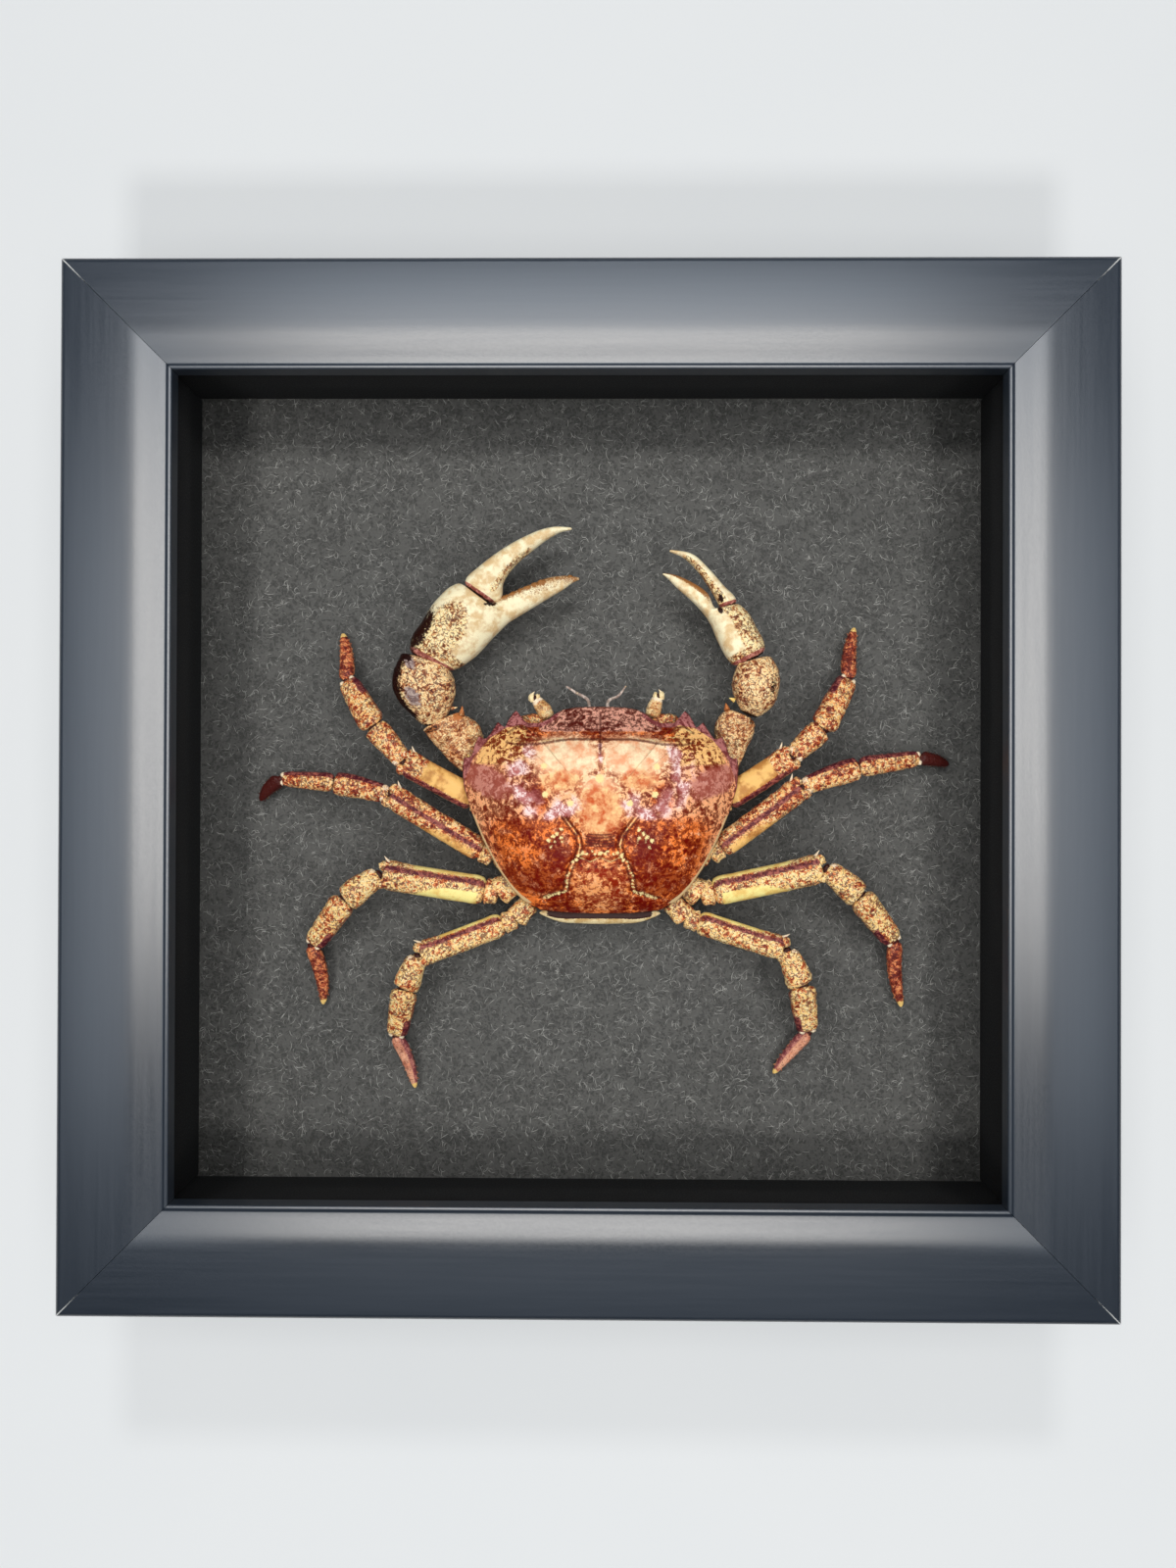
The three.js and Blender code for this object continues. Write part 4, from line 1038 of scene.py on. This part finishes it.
def legRibs(start, end, width, shape, mirror, bend=0.0):
    along = (end - start).normalized()
    sideways = Vector((-along.y, along.x, 0)).normalized()
    ribs = []
    for t, front, rear in shape:
        middle = start.lerp(end, t) - sideways * bend * 2 * t * (1 - t)
        toLeft, toRight = (rear, front) if mirror == 1 else (front, rear)
        left = middle + sideways * width * toLeft / 2
        right = middle - sideways * width * toRight / 2
        ribs.append((left.x, left.y, right.x, right.y, middle.z, width * (front + rear) / 2 * 0.82))
    return ribs


def buildLegs():
    skins = {"leg_shell": makeLimbMaterial("legShell", limbPalette),
             "amber": makeLimbMaterial("amberLegShell", amberPalette),
             "leg_tip": makeLimbMaterial("legTipShell", toePalette, 0.4 * mm)}
    joint = {"gap": 0.06, "squeeze": 0.35, "neck": 0.9}
    for leg, (joints, widths, bend) in legPlan.items():
        mirror = 1 if leg.startswith("left") else -1
        style = legStyles[int(leg[-1])]
        points = [Vector(p) for p in joints]
        runs = [b - a for a, b in zip(points, points[1:])]
        for index, kind in enumerate(legShapes):
            along = runs[index].normalized()
            # the sharper the bend at a joint, the wider its gap
            gaps = [0.0, 0.0]
            for end, other in ((0, index - 1), (1, index + 1)):
                if 0 <= other < len(runs):
                    halfBend = runs[index].angle(runs[other]) / 2
                    gaps[end] = joint["gap"] + joint["squeeze"] * widths[index] / 2 * math.tan(halfBend)
            ends = points[index] + along * gaps[0], points[index + 1] - along * gaps[1]
            last = kind == "dactylus"
            ribs = legRibs(*ends, widths[index], legShapes[kind], mirror, bend if last else 0)
            look = {"paint": legPaint(kind, style, mirror), "neck": joint["neck"], "roundStart": 0.4,
                    "rough": 0.08 if last else 0.15, "roundEnd": 0.25 if last else 0.45}
            bm, layer = loft(ribs, look)
            addThorns(bm, layer, kind, ends, along, widths[index], mirror, bend, style["black"])
            slot = "leg_tip" if last else "leg_shell"
            skin = skins["amber"] if style["amber"] and not last else skins[slot]
            finishPiece(bm, f"{leg}_{kind}_skin", skin, [f"{leg}_{kind}"])
        buildBasalSegments(leg, points[0], runs[0], widths[0], mirror, skins["leg_shell"])
    print("legs done")


# claws, as ribs in mm: left x y, right x y, middle height, thickness
clawRibs = {
    "left_claw_merus": [
        (-23.6, 2.6, -20.2, 4.6, 13.0, 3.0), (-26.1, 4.5, -20.0, 8.6, 13.4, 3.9),
        (-28.4, 7.1, -21.2, 12.2, 14.4, 4.6), (-30.6, 9.8, -23.6, 13.7, 15.6, 4.5),
        (-31.6, 11.2, -24.9, 14.4, 15.8, 3.6)],
    "left_claw_carpus": [
        (-31.5, 11.9, -28.2, 12.1, 16.2, 3.0), (-33.2, 13.4, -27.0, 13.4, 16.6, 5.2),
        (-35.2, 15.4, -26.1, 14.9, 17.0, 7.0), (-36.9, 19.1, -25.1, 18.2, 17.6, 8.2),
        (-36.3, 22.6, -25.6, 21.0, 17.8, 7.8), (-34.9, 25.6, -26.4, 22.7, 17.8, 6.4)],
    "left_claw_palm": [
        (-33.7, 25.5, -26.0, 21.9, 17.8, 5.8), (-33.4, 27.7, -24.6, 22.4, 17.8, 7.2),
        (-31.6, 30.7, -21.6, 24.4, 17.8, 8.7), (-28.4, 35.5, -18.1, 28.1, 17.6, 8.8),
        (-25.9, 37.8, -16.6, 29.6, 17.5, 8.0), (-24.2, 38.3, -15.4, 30.8, 17.4, 7.0),
        (-20.2, 34.3, -13.5, 32.1, 17.2, 5.4), (-16.4, 35.9, -10.6, 33.9, 17.0, 4.4),
        (-11.3, 38.2, -7.3, 35.9, 17.0, 3.6), (-6.5, 39.8, -4.5, 37.6, 17.0, 2.4),
        (-3.6, 39.9, -3.0, 38.7, 17.0, 1.4), (-1.8, 39.6, -1.8, 39.2, 17.0, 0.6)],
    "left_claw_finger": [
        (-23.4, 38.2, -18.4, 34.6, 17.8, 4.6), (-23.1, 39.2, -16.9, 35.2, 17.8, 5.4),
        (-20.8, 41.4, -16.1, 38.4, 17.8, 5.0), (-17.0, 44.3, -14.0, 41.6, 17.8, 4.3),
        (-12.0, 47.2, -9.9, 45.1, 17.8, 3.3), (-9.2, 48.4, -7.6, 46.8, 17.8, 2.6),
        (-6.6, 49.0, -5.6, 47.9, 17.8, 1.9), (-3.3, 48.9, -3.2, 48.5, 17.8, 0.5)],
    "right_claw_merus": [
        (24.6, 5.2, 28.4, 3.6, 13.0, 3.0), (24.1, 9.6, 30.2, 7.8, 13.4, 4.0),
        (24.2, 12.6, 31.4, 10.8, 14.4, 4.6), (25.4, 14.4, 31.2, 12.6, 15.4, 4.2),
        (26.4, 15.2, 30.6, 13.4, 15.6, 3.4)],
    "right_claw_carpus": [
        (28.6, 14.9, 32.1, 13.5, 16.0, 3.0), (27.6, 16.9, 34.3, 15.2, 16.8, 6.0),
        (26.9, 19.6, 35.7, 19.2, 17.4, 7.4), (27.5, 22.2, 35.1, 23.1, 17.6, 6.8),
        (28.0, 23.4, 33.8, 25.1, 17.6, 5.0)],
    "right_claw_palm": [
        (27.4, 22.9, 33.0, 25.8, 17.6, 4.4), (26.6, 23.6, 32.9, 26.8, 17.6, 5.6),
        (24.2, 27.6, 31.4, 30.1, 17.4, 6.6), (22.9, 30.7, 29.6, 33.2, 17.3, 6.3),
        (22.2, 31.9, 28.0, 34.5, 17.2, 5.6), (20.8, 33.7, 24.1, 33.6, 17.1, 4.0),
        (18.9, 35.6, 22.3, 36.6, 17.0, 3.1), (16.3, 37.9, 19.0, 38.9, 17.0, 2.5),
        (14.6, 39.6, 15.8, 40.2, 17.0, 1.5), (13.7, 40.3, 13.9, 40.5, 17.0, 0.5)],
    "right_claw_finger": [
        (24.6, 33.7, 27.7, 35.0, 17.6, 3.4), (24.1, 34.9, 27.4, 35.7, 17.6, 3.9),
        (22.2, 38.1, 25.4, 37.8, 17.6, 3.5), (20.1, 41.0, 22.6, 41.0, 17.6, 2.9),
        (17.6, 43.3, 19.2, 44.0, 17.6, 2.1), (15.0, 44.4, 15.1, 44.8, 17.6, 0.6)],
}


def spotIn(x, y, middle, size, turn=0.0):
    # 1 inside a tilted ellipse, fading to 0 outside it
    c, s = math.cos(math.radians(turn)), math.sin(math.radians(turn))
    u, v = (x - middle[0]) * c + (y - middle[1]) * s, (y - middle[1]) * c - (x - middle[0]) * s
    return np.exp(-((u / size[0]) ** 2 + (v / size[1]) ** 2) ** 2)


def leftPalm(t, across, up, x, y):
    speckled = np.maximum(spotIn(x, y, (-26.6, 29.2), (6.2, 3.9), 58), 1 - gate(t, 0.06, 0.12))
    bite = nearLine(x, y, [(-17.0, 35.6), (-11.3, 38.1), (-6.5, 39.8), (-1.8, 39.5)])
    black = np.maximum(spotIn(x, y, (-31.4, 29.4), (5.4, 2.3), 60),
                       spotIn(x, y, (-18.4, 34.2), (1.5, 0.5), 12))
    amber = np.maximum(0.6 * (1 - gate(bite, 0.2, 3.0)), 0.45 * spotIn(x, y, (-8.6, 37.6), (5.6, 1.9), 26))
    worn = 0.42 * (1 - gate(bite, 0.3, 1.8))
    return {plain: 1 - speckled, dark: np.maximum(black * 0.8, worn), tip: amber,
            purple: np.maximum(0.4 * spotIn(x, y, (-9.6, 36.9), (2.0, 0.7), 30), 1 - gate(t, 0.01, 0.035))}


def leftFinger(t, across, up, x, y):
    inner = nearLine(x, y, [(-18.0, 37.0), (-16.2, 39.4), (-13.6, 42.4), (-11.4, 44.2)])
    speckled = 1 - gate(inner, 0.3, 1.3)
    return {plain: 1 - speckled * 0.6, tip: 0.5 * gate(t, 0.96, 1.0), purple: 1 - gate(t, 0.015, 0.035)}


def leftCarpus(t, across, up, x, y):
    edge = (0.65 * gate(across, 0.55, 0.95) + 0.35 * gate(across, 0.0, 0.5)) * gate(t, 0.0, 0.15)
    ribs = np.maximum(spotIn(x, y, (-32.6, 16.9), (2.6, 1.4), -52),
                      spotIn(x, y, (-33.2, 23.2), (1.9, 1.1), -50))
    return {dark: np.maximum(edge, spotIn(x, y, (-34.0, 24.4), (1.4, 0.8), -45)), purple: 0.75 * ribs}


def leftMerus(t, across, up, x, y):
    slit = spotIn(x, y, (-29.6, 10.9), (2.0, 0.5), 20)
    tooth = spotIn(x, y, (-24.6, 13.6), (1.6, 1.1), 50)
    ridge = spotIn(x, y, (-27.4, 8.6), (3.4, 0.8), 50)
    return {dark: np.maximum(slit, 0.5 * ridge), tip: np.maximum(tooth * 0.8, 0.44),
            plain: 0.4 * spotIn(x, y, (-22.4, 9.6), (1.6, 3.0))}


def rightPalm(t, across, up, x, y):
    inner = gate(across, -0.1, 0.25)
    outer = 1 - gate(t, 0.45, 0.52)
    speckled = np.maximum((1 - inner) * outer, 1 - gate(t, 0.05, 0.1))
    notch = spotIn(x, y, (24.4, 33.2), (0.5, 0.9), 20)
    return {plain: 1 - speckled, dark: notch, tip: 0.75 * gate(t, 0.5, 0.7) * gate(-across, -0.2, 0.6),
            purple: 1 - gate(t, 0.015, 0.04)}


def rightFinger(t, across, up, x, y):
    scribble = gate(across, -0.1, 0.3) * (1 - gate(t, 0.7, 0.95))
    return {plain: 1 - scribble * 0.8, dark: spotIn(x, y, (24.6, 35.4), (0.4, 0.9), 20),
            purple: 1 - gate(t, 0.02, 0.05), tip: 0.5 * gate(t, 0.93, 1.0)}


def rightCarpus(t, across, up, x, y):
    return {dark: 0.55 * spotIn(x, y, (34.2, 18.8), (2.6, 0.7), 80)}


def rightMerus(t, across, up, x, y):
    slit = 0.9 * spotIn(x, y, (31.0, 12.7), (1.2, 0.6), 20)
    return {dark: np.maximum(slit, 0.6 * spotIn(x, y, (28.2, 8.4), (0.9, 1.5))),
            tip: np.maximum(0.6 * spotIn(x, y, (26.0, 14.8), (1.1, 0.8)), 0.42)}


clawPaint = {
    "left_claw_merus": leftMerus, "left_claw_carpus": leftCarpus, "left_claw_palm": leftPalm,
    "left_claw_finger": leftFinger, "right_claw_merus": rightMerus, "right_claw_carpus": rightCarpus,
    "right_claw_palm": rightPalm, "right_claw_finger": rightFinger,
}
# thorns on the claws: base, direction, length, radius, paint
clawSpines = {
    "left_claw_carpus": [((-26.7, 22.2, 18.8), (0.1, 1, 0.5), 2.8, 0.65, (1, 0, 0, 0)),
                         ((-25.8, 14.9, 17.0), (1, 0.2, 0.2), 1.2, 0.4, (0, 0, 0, 0.3))],
    "left_claw_merus": [((-24.0, 13.9, 16.8), (0.1, 1, 0.3), 1.6, 0.6, (0, 0, 0, 0.6)),
                        ((-22.6, 5.6, 15.2), (-0.6, 1, 0.4), 1.0, 0.3, (1, 0, 0, 0))],
    "right_claw_carpus": [((28.3, 22.6, 18.4), (-0.1, 1, 0.4), 2.0, 0.5, (1, 0, 0, 0)),
                          ((27.3, 16.6, 17.0), (-1, 0.4, 0.2), 1.1, 0.5, (1, 0, 0, 0))],
    "right_claw_merus": [((26.0, 15.0, 16.4), (-0.2, 1, 0.3), 1.2, 0.6, (0, 0, 0, 0.8))],
}
# rows of lumps on the biting edge and by the hinge: first and last place, how many, size, paint
clawLumps = {
    "left_claw_palm": [((-15.4, 35.4, 18.0), (-8.8, 38.3, 17.9), 6, (0.95, 0.8, 0.8), (0, 0, 0.35, 0.8)),
                       ((-7.6, 38.9, 17.5), (-3.6, 39.6, 17.2), 5, (0.55, 0.5, 0.5), (0, 0, 0, 0.75))],
    "left_claw_finger": [((-20.2, 34.2, 19.6), (-20.2, 34.2, 19.6), 1, (0.6, 0.9, 0.7), (0, 0, 0, 0.5))],
}


def buildClaws():
    skins = {"claw_shell": makeLimbMaterial("clawShell", clawPalette, 0.42 * mm),
             "leg_shell": makeLimbMaterial("armShell", armPalette, 0.45 * mm)}
    for node, ribs in clawRibs.items():
        hard = node.endswith(("palm", "finger"))
        look = {"paint": clawPaint[node], "sides": 72, "spacing": 0.22, "neck": 0.5, "neckShare": 0.85,
                "rough": 0.05 if hard else 0.13, "roundEnd": 0.3 if hard else 0.45}
        bm, layer = loft(ribs, look)
        for base, aim, length, radius, paint in clawSpines.get(node, []):
            addSpine(bm, layer, base, aim, length, radius, paint)
        for first, last, count, size, paint in clawLumps.get(node, []):
            for index in range(count):
                spot = Vector(first).lerp(Vector(last), index / max(count - 1, 1))
                addKnob(bm, layer, spot, size, paint)
        slot = "claw_shell" if hard else "leg_shell"
        finishPiece(bm, node + "_skin", skins[slot], [node])
    print("claws done")


def bodyPaint(smooth, shadow):
    # shadow: how dark the piece is in front of its rear rim
    def paint(t, across, up, x, y):
        inside = gate(across, -0.62, -0.48) * gate(t, 0.03, 0.1) * gate(1 - t, 0.03, 0.1)
        return {plain: smooth, dark: shadow * inside}
    return paint


def stalkPaint(smooth, ash):
    def paint(t, across, up, x, y):
        return {plain: smooth, purple: ash, tip: (1 - ash) * gate(t, 0.6, 0.9)}
    return paint


def stalkRibs(points, widths):
    ribs = []
    for index, (point, width) in enumerate(zip(points, widths)):
        after, before = points[min(index + 1, len(points) - 1)], points[max(index - 1, 0)]
        along = (Vector(after) - Vector(before)).normalized()
        side = Vector((-along.y, along.x, 0)).normalized() * width / 2
        ribs.append((point[0] + side.x, point[1] + side.y, point[0] - side.x, point[1] - side.y,
                     point[2], width))
    return ribs


# two lumps side by side and the dark eye between them: how far outward, shift, size, paint; then the thorn on
# the outer lump
eyeTip = {
    "lumps": [(0.55, (0, -0.2, 0.3), (0.6, 0.8, 0.6), (1, 0, 0, 0.2)),
              (-0.5, (0, 0.0, 0.2), (0.5, 0.75, 0.55), (0.7, 0, 0, 0)),
              (0.0, (0, -0.1, 0.5), (0.35, 0.5, 0.35), (0, 0, 1, 0))],
    "thorn": {"outward": 0.6, "shift": (0, 0.4, 0.4), "lean": -0.9, "length": 0.9, "radius": 0.32,
              "paint": (1, 0, 0, 0.5)},
}


def addEyeTip(bm, layer, tipPoint, outward):
    for far, shift, size, paint in eyeTip["lumps"]:
        addKnob(bm, layer, tipPoint + outward * far + Vector(shift), size, paint)
    thorn = eyeTip["thorn"]
    base = tipPoint + outward * thorn["outward"] + Vector(thorn["shift"])
    aim = (outward.x * thorn["lean"], 1, 0.1)
    addSpine(bm, layer, base, aim, thorn["length"], thorn["radius"], thorn["paint"])


def buildBody():
    skin = makeLimbMaterial("bodyShell", bodyPalette)
    # ribs in mm from the middle line of the body, as for the claws
    body = {
        "middle": 2.2,
        "thorax": [(-4.0, -19.4, 4.0, -19.4, 12.4, 2.4), (-9.4, -17.0, 9.4, -17.0, 12.2, 5.4),
                   (-14.6, -11.0, 14.6, -11.0, 12.1, 6.4), (-16.4, -3.0, 16.4, -3.0, 12.1, 6.6),
                   (-15.0, 5.0, 15.0, 5.0, 12.1, 6.4), (-10.5, 10.0, 10.5, 10.0, 12.2, 5.6),
                   (-3.4, 12.2, 3.4, 12.2, 12.6, 2.4)],
        "abdomen": [(-11.6, -23.6, -11.4, -24.0, 14.9, 0.8), (-8.6, -22.4, -8.2, -25.3, 14.6, 2.4),
                    (-3.0, -21.2, -3.0, -25.8, 14.4, 2.9), (3.0, -21.2, 3.0, -25.8, 14.4, 2.9),
                    (8.6, -22.4, 8.2, -25.3, 14.6, 2.4), (11.6, -23.6, 11.4, -24.0, 14.9, 0.8)],
    }
    for node, paint in (("thorax", bodyPaint(0.3, 0.0)), ("abdomen", bodyPaint(1.0, 0.9))):
        ribs = [(a + body["middle"], b, c + body["middle"], d, z, h) for a, b, c, d, z, h in body[node]]
        look = {"paint": paint, "sides": 56, "rough": 0.08, "roundStart": 0.6, "roundEnd": 0.6}
        bm, layer = loft(ribs, look)
        finishPiece(bm, node + "_skin", skin, [node])
    eyestalk = {"widths": (2.6, 2.8, 2.3, 1.7), "paint": stalkPaint(0.5, 0.0), "rough": 0.14,
                "roundEnd": 0.8}
    antenna = {"widths": (0.75, 0.6, 0.5, 0.3), "paint": stalkPaint(1.0, 0.8), "rough": 0.03,
               "roundEnd": 0.15}
    # points from base to tip, kind, and for an eyestalk the way its outer lump points
    stalks = {
        "eyestalk_left": ([(-7.6, 13.0, 15.8), (-8.4, 14.6, 16.7), (-9.4, 15.9, 17.8), (-10.1, 16.9, 18.2)],
                          eyestalk, (-1, 0.1, 0)),
        "eyestalk_right": ([(11.9, 13.3, 15.8), (12.3, 15.0, 16.7), (12.7, 16.3, 17.8), (13.0, 17.3, 18.2)],
                           eyestalk, (1, 0.2, 0)),
        "antenna_left": ([(0.1, 14.9, 16.0), (-0.1, 16.4, 16.4), (-2.4, 17.9, 17.2), (-4.3, 19.1, 17.6)],
                         antenna, None),
        "antenna_right": ([(3.5, 14.9, 16.0), (3.7, 16.4, 16.4), (5.5, 17.3, 17.2), (7.0, 19.2, 17.6)],
                          antenna, None),
    }
    for node, (points, kind, outward) in stalks.items():
        bm, layer = loft(stalkRibs(points, kind["widths"]), dict(kind, sides=28, spacing=0.12))
        if outward:
            addEyeTip(bm, layer, Vector(points[-1]), Vector(outward))
        finishPiece(bm, node + "_skin", skin, [node])
    # pale floor of each eye socket
    socket = {"y": 12.6, "z": 15.6, "size": (2.9, 1.5, 0.7), "paint": (0.3, 0, 0.3, 0)}
    for name, x in (("left", -9.9), ("right", 14.3)):
        bm = bmesh.new()
        layer = bm.verts.layers.float_color.new("paint")
        addKnob(bm, layer, (x, socket["y"], socket["z"]), socket["size"], socket["paint"])
        finishPiece(bm, f"eye_socket_{name}", skin)
    print("body done")


def buildTable():
    top = {"half": 2.0, "dark": srgb(228, 230, 230), "light": srgb(232, 233, 232)}
    bm = bmesh.new()
    bmesh.ops.create_grid(bm, x_segments=2, y_segments=2, size=top["half"])
    mesh = bpy.data.meshes.new("table")
    bm.to_mesh(mesh)
    bm.free()
    material, tree, shader, place = newMaterial("paleTable", specular=0.3, roughness=0.6)
    wire(tree, shader.inputs["Base Color"],
         blendColour(tree, cloud(tree, place, 60 * mm, 2.0), top["dark"], top["light"]))
    mesh.materials.append(material)
    table = linkObject("table", mesh)
    return table


def buildRoom():
    # a dim room for the light, and a pale one where the view looks past the table
    room = {"light": (0.07, 0.085, 0.105, 1), "seen": (0.8, 0.82, 0.83, 1)}
    world = bpy.data.worlds.new("softRoom")
    bpy.context.scene.world = world
    world.use_nodes = True
    tree = world.node_tree
    base = tree.nodes["Background"]
    base.inputs["Color"].default_value = room["light"]
    seen = addNode(tree, "Background", {"Color": room["seen"]})
    path = tree.nodes.new("ShaderNodeLightPath")
    both = addNode(tree, "MixShader", {0: path.outputs["Is Camera Ray"], 1: base.outputs[0],
                                       2: seen.outputs[0]})
    wire(tree, tree.nodes["World Output"].inputs["Surface"], both.outputs[0])


def buildLamps(glass, table):
    rails = [obj for obj in bpy.data.objects if obj.name.startswith("moulding")]
    members = {"tableOnly": [table], "mouldingOnly": rails, "noMoulding": [glass, table, *rails]}
    targets = {}
    for name, pieces in members.items():
        targets[name] = bpy.data.collections.new(name)
        for piece in pieces:
            targets[name].objects.link(piece)
    for member in targets["noMoulding"].collection_objects:
        member.light_linking.link_state = "EXCLUDE"
    # name, what it lights, colour, spread, and for each lamp its place and size in mm and its power. Bars
    # light the card and the crab, panels and the wide lamp the moulding, softboxes the table
    warm, cool, white = (1.0, 0.98, 0.95), (0.84, 0.95, 1.08), (1, 1, 1)
    lamps = [
        ("bar", "noMoulding", warm, 125,
         [((130, 5, 248), (34, 210), 0.16), ((0, 136, 248), (210, 34), 0.18),
          ((-132, 5, 248), (34, 210), 0.16), ((0, -126, 248), (210, 34), 0.135),
          ((0, 8, 248), (90, 90), 0.05)]),
        ("panel", "mouldingOnly", cool, 180,
         [((190, 0, 248), (90, 240), 0.07), ((0, 190, 248), (260, 90), 0.12),
          ((-190, 0, 248), (90, 240), 0.07), ((0, -190, 248), (260, 90), 0.02)]),
        ("wide", "mouldingOnly", warm, 180, [((0, 41, 248), (235, 203), 0.54)]),
        ("softbox", "tableOnly", white, 180,
         [((0, 0, 1800), (2000, 2000), 29), ((0, -1350, 1600), (300, 300), 12),
          ((0, 1650, 1600), (300, 300), 12)]),
    ]
    for name, receivers, colour, spread, places in lamps:
        for index, (spot, (width, length), power) in enumerate(places):
            light = bpy.data.lights.new(f"{name}Lamp{index}", "AREA")
            light.shape, light.size, light.size_y = "RECTANGLE", width * mm, length * mm
            light.energy, light.color, light.spread = power, colour, math.radians(spread)
            lamp = linkObject(light.name, light)
            lamp.location = Vector(spot) * mm
            lamp.light_linking.receiver_collection = targets[receivers]


def buildCamera():
    view = {"place": Vector((2.434, -0.568, 245.94)) * mm, "turn": (0.0057, 0.0111, 0.0032), "lens": 27.9,
            "sensor": 36, "nearest": 0.005, "farthest": 20}
    lens = bpy.data.cameras.new("viewCamera")
    lens.sensor_fit, lens.sensor_height, lens.lens = "VERTICAL", view["sensor"], view["lens"]
    lens.clip_start, lens.clip_end = view["nearest"], view["farthest"]
    camera = linkObject("viewCamera", lens)
    camera.location, camera.rotation_euler = view["place"], view["turn"]
    bpy.context.scene.camera = camera
    bpy.context.scene.view_settings.view_transform = "Standard"


glass = buildBox()
buildShell()
buildLegs()
buildClaws()
buildBody()
buildRoom()
buildLamps(glass, buildTable())
buildCamera()
print("stage done")
